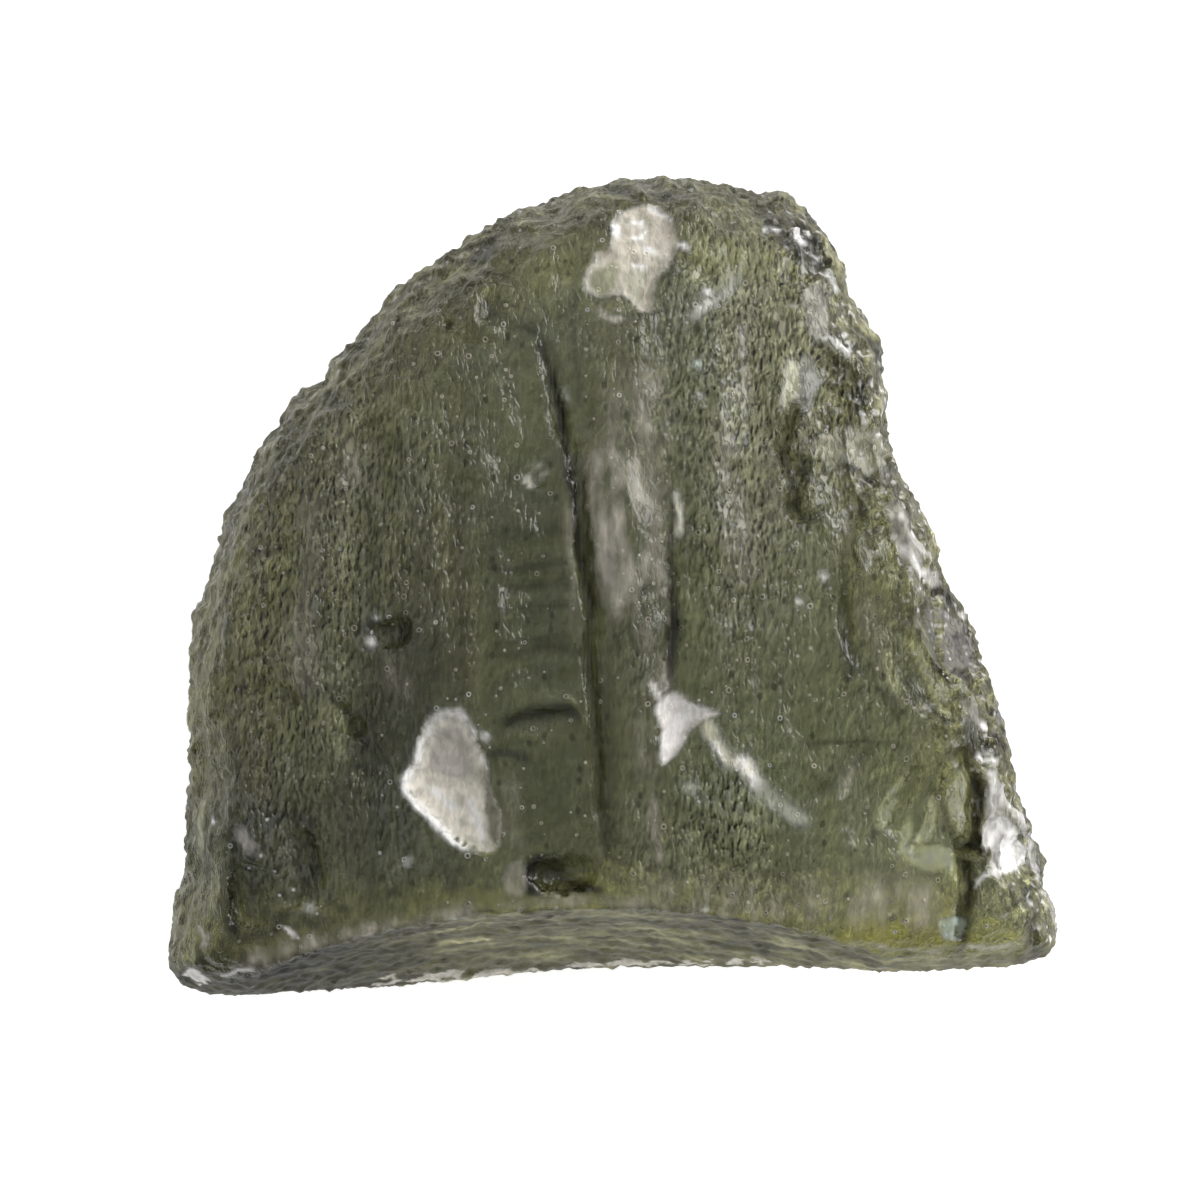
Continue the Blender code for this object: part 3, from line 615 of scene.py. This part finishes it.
def make_blank():
    """A rounded slab of the outline, out of rings of points."""
    outline = smooth_closed_curve(pairs(OUTLINE) / PER_MILLIMETRE, 8)
    rest = np.array(REST_CENTRE)
    bm = bmesh.new()
    face, back = [], []
    for share in RING_SHARES:
        places = rest + (outline - rest) * share
        edge = distance_to_line(places, closed(outline))[0]
        for ring_relief_and_highlight, heights in zip((face, back), ring_heights(places, edge)):
            ring_relief_and_highlight.append([bm.verts.new((x, y, z)) for (x, y), z in zip(places, heights)])
    for ring_relief_and_highlight in (face, back):
        for outer, inner in zip(ring_relief_and_highlight, ring_relief_and_highlight[1:]):
            join_rings(bm, outer, inner)
        bm.faces.new(ring_relief_and_highlight[-1])
    join_rings(bm, face[0], back[0])
    bmesh.ops.recalc_face_normals(bm, faces=bm.faces)
    return add_object("moldavite_skin", bm)


def cut_ball(stone, centre, radii, turn):
    """Takes a stretched ball out of the stone, which leaves a shell-shaped break."""
    bm = bmesh.new()
    bmesh.ops.create_uvsphere(bm, u_segments=96, v_segments=48, radius=1.0)
    bmesh.ops.scale(bm, vec=Vector(radii), verts=bm.verts)
    cutter = add_object("break", bm)
    cutter.location = centre
    cutter.rotation_euler = (0.0, 0.0, math.radians(turn))
    modifier = stone.modifiers.new("break", "BOOLEAN")
    modifier.operation = "DIFFERENCE"
    modifier.solver = "EXACT"
    modifier.object = cutter
    return cutter


def bake_modifiers(stone, leftovers=()):
    bpy.context.view_layer.update()
    shaped = bpy.data.meshes.new_from_object(stone.evaluated_get(bpy.context.evaluated_depsgraph_get()))
    stone.modifiers.clear()
    stone.data = shaped
    for thing in leftovers:
        bpy.data.objects.remove(thing, do_unlink=True)


def break_and_remesh(stone):
    cutters = [cut_ball(stone, *ball) for ball in BREAKS]
    bake_modifiers(stone, cutters)
    modifier = stone.modifiers.new("even_cells", "REMESH")
    modifier.mode = "VOXEL"
    modifier.voxel_size = CELL
    modifier.adaptivity = 0.0
    bake_modifiers(stone)
    modifier = stone.modifiers.new("settle", "SMOOTH")
    modifier.factor = 0.5
    modifier.iterations = 3
    bake_modifiers(stone)


def coarser_back(stone):
    """Fewer and larger faces underneath, where the stone is smoother."""
    downwards = read_normals(stone.data)[:, 2] < BACK_TURN
    group = stone.vertex_groups.new(name="underneath")
    group.add([int(index) for index in np.flatnonzero(downwards)], 1.0, "REPLACE")
    modifier = stone.modifiers.new("coarser", "DECIMATE")
    modifier.ratio = BACK_SHARE
    modifier.vertex_group = group.name
    bake_modifiers(stone)
    stone.vertex_groups.clear()


def read_vectors(mesh, name):
    values = np.empty(len(mesh.vertices) * 3)
    mesh.vertices.foreach_get(name, values)
    return values.reshape(-1, 3)


def read_normals(mesh):
    return read_vectors(mesh, "normal")


def write_points(mesh, points):
    mesh.vertices.foreach_set("co", points.ravel())
    mesh.update()


def as_drawn(points):
    """Where each point shows on the level plane that the lists were drawn on, in their unit."""
    eye = np.array(EYE)
    spread = (EYE[2] - DRAWN_AT) / (EYE[2] - points[:, 2])
    return (eye[:2] + (points[:, :2] - eye[:2]) * spread[:, None]) * PER_MILLIMETRE


def lumps(points, pattern):
    """Soft unevenness, about -1 to 1."""
    squeeze, size, offset = pattern
    start = Vector((offset, 0.0, 0.0))
    return np.array([noise.fractal(Vector(point) + start, *FRACTAL) for point in points * squeeze / size])


def cells(points, pattern):
    """How far each point is from its cell's border, the cell's value, and a face tilted its own way."""
    squeeze, size, offset = pattern
    start = Vector((offset, 0.0, 0.0))
    border, value, tilt = (np.empty(len(points)) for _ in range(3))
    for index, point in enumerate(points * squeeze / size):
        place = Vector(point) + start
        distances, seeds = noise.voronoi(place)
        border[index] = distances[1] - distances[0]
        value[index] = noise.cell(seeds[0] * CELL_VALUES) * 0.5 + 0.5
        tilt[index] = noise.cell_vector(seeds[0] * CELL_TILTS).dot(place - seeds[0])
    return border, value, tilt


def wander(places, size, reach, offset):
    """The places, moved sideways a little, so that what is drawn there has uneven edges."""
    start = Vector((offset, offset, 0.0))
    moves = [noise.noise_vector(Vector((x, y, 0.0)) + start) for x, y in places / size]
    return places + reach * np.array([(move.x, move.y) for move in moves])


def bump_of(places, centre, size):
    return np.exp(-(((places - centre) / size) ** 2).sum(axis=1))


def total_of(places, patches):
    return sum(amount * bump_of(places, centre, size) for centre, size, amount in patches)


def share_of(places, patches):
    return np.clip(total_of(places, patches), 0.0, 1.0)


def line_cover(places, line, width):
    gap, along, _ = distance_to_line(places, pairs(line))
    return np.exp(-(gap / width) ** 2) * end_fade(along, 12.0, 0.45)


def furrow_relief(places):
    relief = np.zeros(len(places))
    for line, left, right, depth in FURROWS:
        gap, along, side = distance_to_line(places, pairs(line))
        width = np.where(side > 0, right, left)
        relief -= depth * end_fade(along, 8.0, 0.25) * np.exp(-(gap / width) ** 2)
    return relief


def pit_relief(places):
    relief = np.zeros(len(places))
    for centre, size, turn, depth in PITS:
        angle = math.radians(turn)
        axes = np.array([[math.cos(angle), math.sin(angle)], [-math.sin(angle), math.cos(angle)]])
        away = (((places - centre) @ axes.T / size) ** 2).sum(axis=1)
        relief -= depth * np.clip(1.0 - away, 0.0, 1.0) ** PIT_ROUND
    return relief


def step_relief(places):
    relief = np.zeros(len(places))
    for start, end, height in STEPS:
        gap, along, _ = distance_to_line(places, np.array([start, end], dtype=float))
        arch = STEP_ARCH * np.sin(math.pi * along)
        below = places[:, 1] - (start[1] + along * (end[1] - start[1])) - arch
        slope = np.clip(below / STEP_EDGE, -1.0, 1.0)
        relief += height * end_fade(along, 6.0, 0.0) * np.exp(-(gap / STEP_WIDTH) ** 2) * slope
    return relief


def dent_relief(places):
    return sum(-depth * cover_of(places, corners, DENT_EDGE, 0.5) for corners, depth in DENTS)


def drawn_relief(points):
    places = wander(as_drawn(points), *WIDE_WANDER)
    relief = furrow_relief(places) + pit_relief(places) + step_relief(places) + dent_relief(places)
    return (relief + total_of(places, ROLLS)) / PER_MILLIMETRE


def rim_strands(zone):
    """Strands that run along the rim and lean inwards, as in a loose rope."""
    run = zone.along * RIM_LENGTH
    lean = math.radians(STRAND_LEAN)
    lengthwise = (run * math.cos(lean) + zone.edge * math.sin(lean)) / STRAND_SIZE[0]
    across = (zone.edge * math.cos(lean) - run * math.sin(lean)) / STRAND_SIZE[1]
    return np.array([noise.fractal(Vector((a, b, 0.0)), *FRACTAL) for a, b in zip(lengthwise, across)])


def sculpt(mesh):
    """Raises and lowers the forms that were drawn and the larger lumps. Returns where the lower hollow is."""
    points, normals = read_vectors(mesh, "co"), read_normals(mesh)
    moved = points.copy()
    moved[:, 2] += np.clip(normals[:, 2], 0.0, 1.0) ** 1.5 * drawn_relief(points)
    side = np.clip(1.0 - np.abs(normals[:, 2]), 0.0, 1.0)
    grain = 0.11 * lumps(points, BROAD_LUMPS) + 0.07 * lumps(points, MIDDLE_LUMPS)
    grain += side * (0.06 * lumps(points, SIDE_LUMPS) + 0.07 * np.abs(lumps(points, SIDE_FOLDS)))
    hollow = fade(normals[:, 1], -0.1, -0.6) * (points[:, 1] < HOLLOW_REACH)
    grain *= 1.0 - 0.75 * hollow
    grain -= side * NOTCH_DEPTH * bump_of(points[:, :2], *NOTCH)
    write_points(mesh, moved + normals * grain[:, None])
    return hollow


def find_zones(points, normals, hollow):
    """Where on the stone each point lies: how near the edge, how steep, and in which of its parts."""
    drawn = as_drawn(points)
    x, y = drawn.T / PER_MILLIMETRE
    edge, along, _ = distance_to_line(points[:, :2], closed(pairs(OUTLINE) / PER_MILLIMETRE))
    zone = SimpleNamespace(x=x, y=y, edge=edge, along=along, height=points[:, 2], hollow=hollow)
    zone.outside = 1.0 - hollow
    zone.turn = normals[:, 2]
    zone.up = np.clip(zone.turn, 0.0, 1.0)
    zone.facing = fade(zone.turn, -0.1, 0.15)
    zone.rim = fade(edge, RIM_WIDTH, 0.0) * zone.outside
    zone.broken = fade(x, 1.9, 2.6) * fade(y, -4.9, -4.5) * fade(edge, 1.25, 0.25) * zone.outside
    zone.left = fade(x, -1.4, -2.2)
    etched = share_of(drawn, ETCHED) * zone.up + (1.0 - zone.up) * SIDE_ETCHED
    zone.coarse = np.maximum(etched, zone.rim * RIM_ETCHED) * (1.0 - 0.8 * hollow)
    zone.places = wander(wander(drawn, *WIDE_WANDER), *FINE_WANDER)
    zone.clumps = lumps(points, CLUMPS)
    zone.streaks = lumps(points, STREAKS)
    return zone


def etch(mesh, points, normals, zone):
    """The fine skin: cups, wrinkles, strands along the rim and small tilted faces on the broken side."""
    border, value, _ = cells(points, CUP_CELLS)
    zone.cups = np.clip(border, 0.0, 0.5) * 2.0
    zone.tilted = cells(points, TILTED_CELLS)[2]
    zone.strands = rim_strands(zone)
    skin = -0.036 * zone.coarse * zone.cups * (0.4 + value)
    skin += (0.016 + 0.03 * (1.0 - zone.up)) * lumps(points, FINE_LUMPS)
    skin += 0.018 * zone.up * zone.outside * lumps(points, WRINKLES)
    skin += 0.04 * zone.rim * zone.strands
    skin += 0.12 * zone.broken * fade(zone.edge, 0.0, 0.25) * zone.tilted
    write_points(mesh, points + normals * skin[:, None])
    # How far the fine relief leans toward the painted light, for painted light and shade.
    zone.lit = (read_normals(mesh) - normals) @ np.array(PAINTED_LIGHT_FROM)


def drawn_stops(places):
    stops = total_of(places, PATCHES)
    # Painted shade and shadow are among the stripes.
    for line, width, amount in STRIPES:
        stops += amount * line_cover(places, line, width)
    # Painted reflections among the feathers on the broken side.
    for corners, amount in FEATHERS:
        stops += amount * cover_of(places, corners, PAINT_EDGE, 0.5)
    return stops


def skin_stops(points, zone):
    """How many times 2 lighter the skin is than its mean."""
    stops = drawn_stops(zone.places) * zone.facing
    stops -= zone.hollow * (0.1 + 2.4 * zone.facing * fade(zone.x, -2.0, -3.8))
    stops += (0.14 + 0.22 * zone.coarse + 0.30 * zone.left) * zone.streaks * zone.outside
    stops += (0.14 + 0.34 * zone.coarse) * lumps(points, SHORT_STREAKS)
    # Painted light and shade of the fine relief.
    stops += np.clip(1.7 * zone.lit, -1.2, 0.9)
    stops += 0.30 * zone.coarse * (zone.cups - 0.5) + 0.9 * zone.rim * zone.strands
    # Painted light on the broken side: each small tilted face is painted lighter where it stands higher, with
    # uneven tone from the clumps.
    return stops + zone.broken * (1.6 * zone.tilted + 1.2 * zone.clumps)


def drawn_frost_and_highlights(places, whole):
    """The colour of the frosted places and of the painted highlights and reflections, and how strong they
    are.
    """
    frost_and_highlight_colour = np.full((len(places), 3), PLAIN_POWDER)
    frost_and_highlight = np.zeros(len(places))
    # Frosted faces, with painted reflections and painted shade on the chips.
    for corners, colour, amount in FACETS:
        cover = cover_of(places, corners, PAINT_EDGE, 0.6)
        frost_and_highlight_colour = mixed(frost_and_highlight_colour, colour, cover)
        frost_and_highlight += (amount * whole - frost_and_highlight) * cover
    # Painted highlights and pale lines.
    for line, width, colour, amount in PAINTED_GLINTS_AND_PALE_LINES:
        cover = np.clip(1.35 * line_cover(places, line, width), 0.0, 1.0)
        frost_and_highlight_colour = mixed(frost_and_highlight_colour, colour, cover)
        frost_and_highlight = np.maximum(frost_and_highlight, amount * cover)
    return frost_and_highlight_colour, frost_and_highlight


def mixed(under, over, share):
    return under + (np.asarray(over) - under) * share[:, None]


def lay_over(under, colour, cover, amount=1.0):
    """Lays another colour over the frost and painted highlights wherever its cover is stronger than theirs.
    """
    frost_and_highlight_colour, frost_and_highlight = under
    return mixed(frost_and_highlight_colour, colour, cover > frost_and_highlight), np.maximum(frost_and_highlight, amount * cover)


# Milky streaks, partly painted sheen.
def milky_sheen_streaks(points, places):
    cover = np.zeros(len(places))
    for line, width, amount in MILKY_SHEEN_STREAKS:
        cover = np.maximum(cover, amount * line_cover(places, line, width))
    cover *= np.clip(0.75 + 1.2 * lumps(points, MILK_GAPS), 0.0, 1.4)
    return np.array(MILKY_SHEEN) * np.exp2(1.1 * lumps(points, MILK_VEINS))[:, None], cover


def skin_frost_and_highlights(points, zone, stops):
    """The drawn frost and painted highlights, milky streaks with painted sheen, dull steep faces, painted
    backlight on the lip of the lower hollow and painted sparkle.
    """
    frost_and_highlight = drawn_frost_and_highlights(zone.places, np.clip(0.95 + 0.5 * zone.clumps, 0.0, 1.0))
    frost_and_highlight = lay_over(frost_and_highlight, *milky_sheen_streaks(points, zone.places))
    swept = lumps(points, SWEPT) + 0.6 * lumps(points, WIDE_SWEPT)
    shade = 0.8 * stops + 0.9 * zone.streaks + 1.5 * zone.hollow * swept
    dull = np.array(DULL_OLIVE) * np.exp2(shade)[:, None]
    frost_and_highlight = lay_over(frost_and_highlight, dull, fade(zone.turn, 0.72, 0.42) * (0.45 + 0.55 * zone.hollow))
    # Painted backlight: a cream band on the thin lip of the lower hollow, where light would shine through.
    painted_backlit_lip = zone.hollow * np.exp(-(zone.edge / (0.22 + 0.16 * swept)) ** 2)
    painted_backlit_lip *= fade(zone.x, 2.8, 2.0) * fade(zone.x, -3.9, -3.1) * np.clip(0.9 + 0.8 * zone.clumps, 0.0, 1.0)
    frost_and_highlight = lay_over(frost_and_highlight, CREAM, painted_backlit_lip, 0.9)
    # Painted sparkle: white specks of painted highlight over the broken side and the rim.
    sparkle_zone = np.clip(zone.broken + 0.35 * zone.rim, 0.0, 1.0)
    glitter = np.clip(3.0 * lumps(points, PAINTED_SPARKLES) - 1.0, 0.0, 1.0) * sparkle_zone
    return lay_over(frost_and_highlight, WHITE, glitter, 0.6)


def skin_hue(points, zone):
    streaked = 0.5 * zone.left * lumps(points, BROWN_STREAKS)
    brown = np.clip(share_of(zone.places, BROWNER) + streaked, 0.0, 1.0)
    thin = 0.8 * fade(zone.edge, 1.43, 0.33) * np.maximum(fade(zone.y, -4.0, -2.8), 0.15)
    hue = mixed(np.array(OLIVE), GREENER_OLIVE, share_of(zone.places, GREENER))
    hue = mixed(hue, BROWNER_OLIVE, brown)
    hue = mixed(hue, PALER_OLIVE, share_of(zone.places, PALER))
    hue = mixed(hue, THIN_OLIVE, thin)
    return mixed(hue, HOLLOW_OLIVE, zone.hollow)


def write_value(mesh, name, values):
    layer = mesh.attributes.new(name, "FLOAT", "POINT")
    layer.data.foreach_set("value", np.clip(values, 0.0, 1.5).astype(np.float32))


def write_colour(mesh, name, colours):
    layer = mesh.attributes.new(name, "FLOAT_COLOR", "POINT")
    with_alpha = np.hstack([np.clip(colours, 0.0, 1.0), np.ones((len(colours), 1))])
    layer.data.foreach_set("color", with_alpha.astype(np.float32).ravel())


def etch_and_paint(mesh, hollow):
    points, normals = read_vectors(mesh, "co"), read_normals(mesh)
    zone = find_zones(points, normals, hollow)
    etch(mesh, points, normals, zone)
    stops = skin_stops(points, zone)
    frost_and_highlight_colour, frost_and_highlight = skin_frost_and_highlights(points, zone, stops)
    # On the broken side, the frost and painted highlights fade lower down.
    fades_lower_down = np.clip(0.35 + (zone.height - 2.4) / 0.8 + 1.2 * zone.clumps, 0.0, 1.0)
    write_colour(mesh, "skin", skin_hue(points, zone) * np.exp2(PAINT_STRENGTH * stops)[:, None])
    # Frost and painted highlights, and their colour.
    write_colour(mesh, "frost_and_highlight_colour", frost_and_highlight_colour)
    write_value(mesh, "frost_and_highlight", frost_and_highlight * zone.facing * np.where(zone.broken > 0.1, fades_lower_down, 1.0))
    write_value(mesh, "coarse", zone.coarse)


def fit_to_box(stone):
    """Flattens the spot that it rests on, and fits the stone to the solid's box, in metres."""
    points = read_vectors(stone.data, "co")
    points[:, 2] = np.maximum(points[:, 2], REST_SPOT_CUT)
    low, high = points.min(axis=0), points.max(axis=0)
    target_low, target_high = np.array(cad_box[0]), np.array(cad_box[1])
    points = target_low + (points - low) / (high - low) * (target_high - target_low)
    write_points(stone.data, points)
    stone.data.shade_smooth()


def node(tree, kind, inputs=None, **settings):
    """A new node. Each of its inputs is linked to another socket or set to a value."""
    made = tree.nodes.new(kind)
    for name, value in settings.items():
        setattr(made, name, value)
    for name, value in (inputs or {}).items():
        if isinstance(value, bpy.types.NodeSocket):
            tree.links.new(value, made.inputs[name])
        else:
            made.inputs[name].default_value = value
    return made


def math_node(tree, operation, *values, clamp=False):
    inputs = dict(enumerate(values))
    return node(tree, "ShaderNodeMath", inputs, operation=operation, use_clamp=clamp).outputs[0]


def map_range(tree, value, low, high, lowest=0.0, highest=1.0, interpolation="LINEAR"):
    ends = {"Value": value, "From Min": low, "From Max": high, "To Min": lowest, "To Max": highest}
    return node(tree, "ShaderNodeMapRange", ends, interpolation_type=interpolation).outputs["Result"]


def scaled_colour(tree, colour, factor):
    return node(tree, "ShaderNodeVectorMath", {0: colour, "Scale": factor}, operation="SCALE").outputs[0]


def stretched(tree, coordinates, scale, shift):
    inputs = {"Vector": coordinates, "Scale": scale, "Location": shift}
    return node(tree, "ShaderNodeMapping", inputs).outputs[0]


def stroke_noise(tree, coordinates, shift):
    """Short strokes along the flow of the glass, moved by the shift."""
    place = stretched(tree, coordinates, STROKE_STRETCH, shift)
    return node(tree, "ShaderNodeTexNoise", {"Vector": place, "Scale": 16.0, "Detail": 1.0}).outputs["Fac"]


def bubble_highlight_rings(tree, coordinates):
    """Small open bubbles: a light ring round a darker middle, where a seed lies near the surface. The light
    ring is a painted highlight, and the same rings shape the bump.
    """
    texture = node(tree, "ShaderNodeTexVoronoi", {"Vector": coordinates, "Scale": BUBBLES_PER_METRE})
    split = node(tree, "ShaderNodeSeparateColor", {0: texture.outputs["Color"]})
    away = math_node(tree, "MULTIPLY_ADD", split.outputs[0], 0.13, texture.outputs["Distance"])
    disc = map_range(tree, away, 0.23, 0.17)
    middle = map_range(tree, away, 0.15, 0.09)
    return math_node(tree, "MULTIPLY_ADD", middle, -1.1, disc)


def pit_shade_specks(tree, coordinates):
    """Small dark specks, painted shade of tiny pits, longer along the flow."""
    place = stretched(tree, coordinates, SPECK_STRETCH, SPECK_START)
    texture = node(tree, "ShaderNodeTexVoronoi", {"Vector": place, "Scale": 1.0})
    return map_range(tree, texture.outputs["Distance"], 0.20, 0.11)


def skin_bump(tree, strokes, ring_relief_and_highlight, grit, frost_and_highlight):
    """The finest relief. It is weak where the skin is frosted and where highlights are painted."""
    height = math_node(tree, "MULTIPLY", strokes, math_node(tree, "ADD", grit, 0.15))
    height = math_node(tree, "MULTIPLY_ADD", ring_relief_and_highlight, 1.2, height)
    height = math_node(tree, "MULTIPLY", height, math_node(tree, "MULTIPLY_ADD", frost_and_highlight, -0.85, 1.0))
    bump = node(tree, "ShaderNodeBump", {"Strength": 0.8, "Distance": BUMP_METRES, "Height": height})
    return bump.outputs["Normal"]


def skin_light(tree, strokes, painted_emboss, specks, grit):
    """How much lighter or darker the strokes and specks make the clear skin, with painted light and shade
    beside the strokes and painted shade in the specks.
    """
    contrast = math_node(tree, "MULTIPLY_ADD", grit, 0.82, 0.10)
    light = math_node(tree, "MULTIPLY", math_node(tree, "SUBTRACT", strokes, 0.45), 0.6)
    light = math_node(tree, "MULTIPLY_ADD", painted_emboss, 5.0, light)
    light = math_node(tree, "MULTIPLY_ADD", light, contrast, 1.0)
    return math_node(tree, "MULTIPLY", light, math_node(tree, "MULTIPLY_ADD", specks, -0.7, 1.0))


def glass():
    """Natural glass: olive by absorption, with an etched skin that is frosted in places and painted with
    highlights, reflections and shade.
    """
    material = bpy.data.materials.new("moldavite_glass")
    material.use_nodes = True
    tree = material.node_tree
    clear = tree.nodes["Principled BSDF"]
    output = tree.nodes["Material Output"]
    coordinates = node(tree, "ShaderNodeTexCoord").outputs["Object"]
    skin, frost_and_highlight_colour, frost_and_highlight, coarse = (node(tree, "ShaderNodeAttribute", attribute_name=name).outputs
                                   for name in ("skin", "frost_and_highlight_colour", "frost_and_highlight", "coarse"))
    grit = coarse["Fac"]
    raw_strokes = stroke_noise(tree, coordinates, (0.0, 0.0, 0.0))
    strokes = map_range(tree, raw_strokes, 0.42, 0.56)
    # Painted light and shade beside the strokes: a shifted copy taken from them.
    painted_emboss = math_node(tree, "SUBTRACT", raw_strokes, stroke_noise(tree, coordinates, PAINTED_EMBOSS_SHIFT))
    ring_relief_and_highlight = bubble_highlight_rings(tree, coordinates)
    normal = skin_bump(tree, strokes, ring_relief_and_highlight, grit, frost_and_highlight["Fac"])

    light = skin_light(tree, strokes, painted_emboss, pit_shade_specks(tree, coordinates), grit)
    clear.inputs["IOR"].default_value = GLASS_IOR
    clear.inputs["Metallic"].default_value = 0.0
    clear.inputs["Transmission Weight"].default_value = CLEAR_TRANSMISSION
    clear.inputs["Specular IOR Level"].default_value = CLEAR_SPECULAR
    tree.links.new(scaled_colour(tree, skin["Color"], light), clear.inputs["Base Color"])
    tree.links.new(math_node(tree, "MULTIPLY_ADD", grit, 0.06, 0.15), clear.inputs["Roughness"])
    tree.links.new(normal, clear.inputs["Normal"])

    # The frosted skin, which also shows the painted highlights and reflections.
    frost_and_highlight_bsdf = node(tree, "ShaderNodeBsdfPrincipled")
    frost_and_highlight_bsdf.inputs["IOR"].default_value = GLASS_IOR
    frost_and_highlight_bsdf.inputs["Transmission Weight"].default_value = FROSTED_TRANSMISSION
    frost_and_highlight_bsdf.inputs["Roughness"].default_value = FROSTED_ROUGHNESS
    frost_and_highlight_bsdf.inputs["Specular IOR Level"].default_value = FROSTED_SPECULAR
    grain = math_node(tree, "MULTIPLY_ADD", strokes, 0.16, 0.88)
    tree.links.new(scaled_colour(tree, frost_and_highlight_colour["Color"], grain), frost_and_highlight_bsdf.inputs["Base Color"])
    tree.links.new(normal, frost_and_highlight_bsdf.inputs["Normal"])

    # Painted sheen on the rough strokes and painted highlights on the bubble rings, added to the frost.
    stroke_sheen = math_node(tree, "MULTIPLY", strokes, grit)
    share = math_node(tree, "MULTIPLY_ADD", stroke_sheen, 0.14, frost_and_highlight["Fac"])
    share = math_node(tree, "MULTIPLY_ADD", ring_relief_and_highlight, 0.8, share, clamp=True)
    layers = {"Fac": share, 1: clear.outputs["BSDF"], 2: frost_and_highlight_bsdf.outputs["BSDF"]}
    both = node(tree, "ShaderNodeMixShader", layers)
    tree.links.new(both.outputs[0], output.inputs["Surface"])

    body = node(tree, "ShaderNodeVolumeAbsorption")
    body.inputs["Color"].default_value = GLASS_TINT
    body.inputs["Density"].default_value = GLASS_DENSITY
    tree.links.new(body.outputs["Volume"], output.inputs["Volume"])
    return material


def floor_material():
    material = bpy.data.materials.new("pale_surface")
    material.use_nodes = True
    material.cycles.emission_sampling = "NONE"
    tree = material.node_tree
    shader = tree.nodes["Principled BSDF"]
    speck = node(tree, "ShaderNodeTexNoise", {"Scale": 900.0})
    tree.links.new(map_range(tree, speck.outputs["Fac"], 0.0, 1.0, *FLOOR_TONES), shader.inputs["Base Color"])
    shader.inputs["Emission Color"].default_value = (1.0, 1.0, 1.0, 1.0)
    shader.inputs["Emission Strength"].default_value = FLOOR_GLOW
    shader.inputs["Roughness"].default_value = 0.9
    shader.inputs["Specular IOR Level"].default_value = 0.1
    return material


def make_floor():
    bm = bmesh.new()
    bmesh.ops.create_grid(bm, x_segments=1, y_segments=1, size=FLOOR_HALF)
    bmesh.ops.translate(bm, vec=(0.0, 0.0, -FLOOR_GAP * METRES), verts=bm.verts)
    floor = add_object("floor", bm)
    floor.data.materials.append(floor_material())


def make_world():
    """A light tent: even pale light, brighter half way up, with one soft window low on the right."""
    world = bpy.data.worlds.new("tent")
    bpy.context.scene.world = world
    world.use_nodes = True
    world.cycles.sampling_method = "NONE"
    tree = world.node_tree
    background = tree.nodes["Background"]
    direction = node(tree, "ShaderNodeTexCoord").outputs["Generated"]
    split = node(tree, "ShaderNodeSeparateXYZ", {0: direction})
    rising = map_range(tree, split.outputs["Z"], 0.20, 0.50)
    ring = math_node(tree, "MULTIPLY", rising, map_range(tree, split.outputs["Z"], 0.96, 0.80))
    tent = math_node(tree, "MULTIPLY_ADD", ring, RING_LIGHT, TENT_LIGHT)
    behind = map_range(tree, split.outputs["Y"], -0.9, 0.1)
    tent = math_node(tree, "MULTIPLY", tent, math_node(tree, "MULTIPLY_ADD", behind, 0.5, 0.5))
    aim = {0: direction, 1: Vector(WINDOW_SIDE).normalized()}
    towards = node(tree, "ShaderNodeVectorMath", aim, operation="DOT_PRODUCT")
    window = map_range(tree, towards.outputs["Value"], 0.90, 0.97, 0.0, WINDOW_LIGHT, "SMOOTHSTEP")
    tree.links.new(math_node(tree, "ADD", tent, window), background.inputs["Strength"])
    background.inputs["Color"].default_value = (1.0, 1.0, 1.0, 1.0)


def make_camera():
    data = bpy.data.cameras.new("camera")
    data.lens = LENS
    data.sensor_width = SENSOR_WIDTH
    data.clip_start = METRES
    camera = bpy.data.objects.new("camera", data)
    camera.location = Vector(EYE) * METRES
    bpy.context.scene.collection.objects.link(camera)
    bpy.context.scene.camera = camera


def main():
    noise.seed_set(NOISE_SEED)
    stone = make_blank()
    break_and_remesh(stone)
    coarser_back(stone)
    etch_and_paint(stone.data, sculpt(stone.data))
    fit_to_box(stone)
    stone.data.materials.clear()
    stone.data.materials.append(glass())
    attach(stone, "root")
    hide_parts("moldavite")
    make_floor()
    make_world()
    make_camera()
    bpy.context.scene.view_settings.view_transform = "Standard"


main()
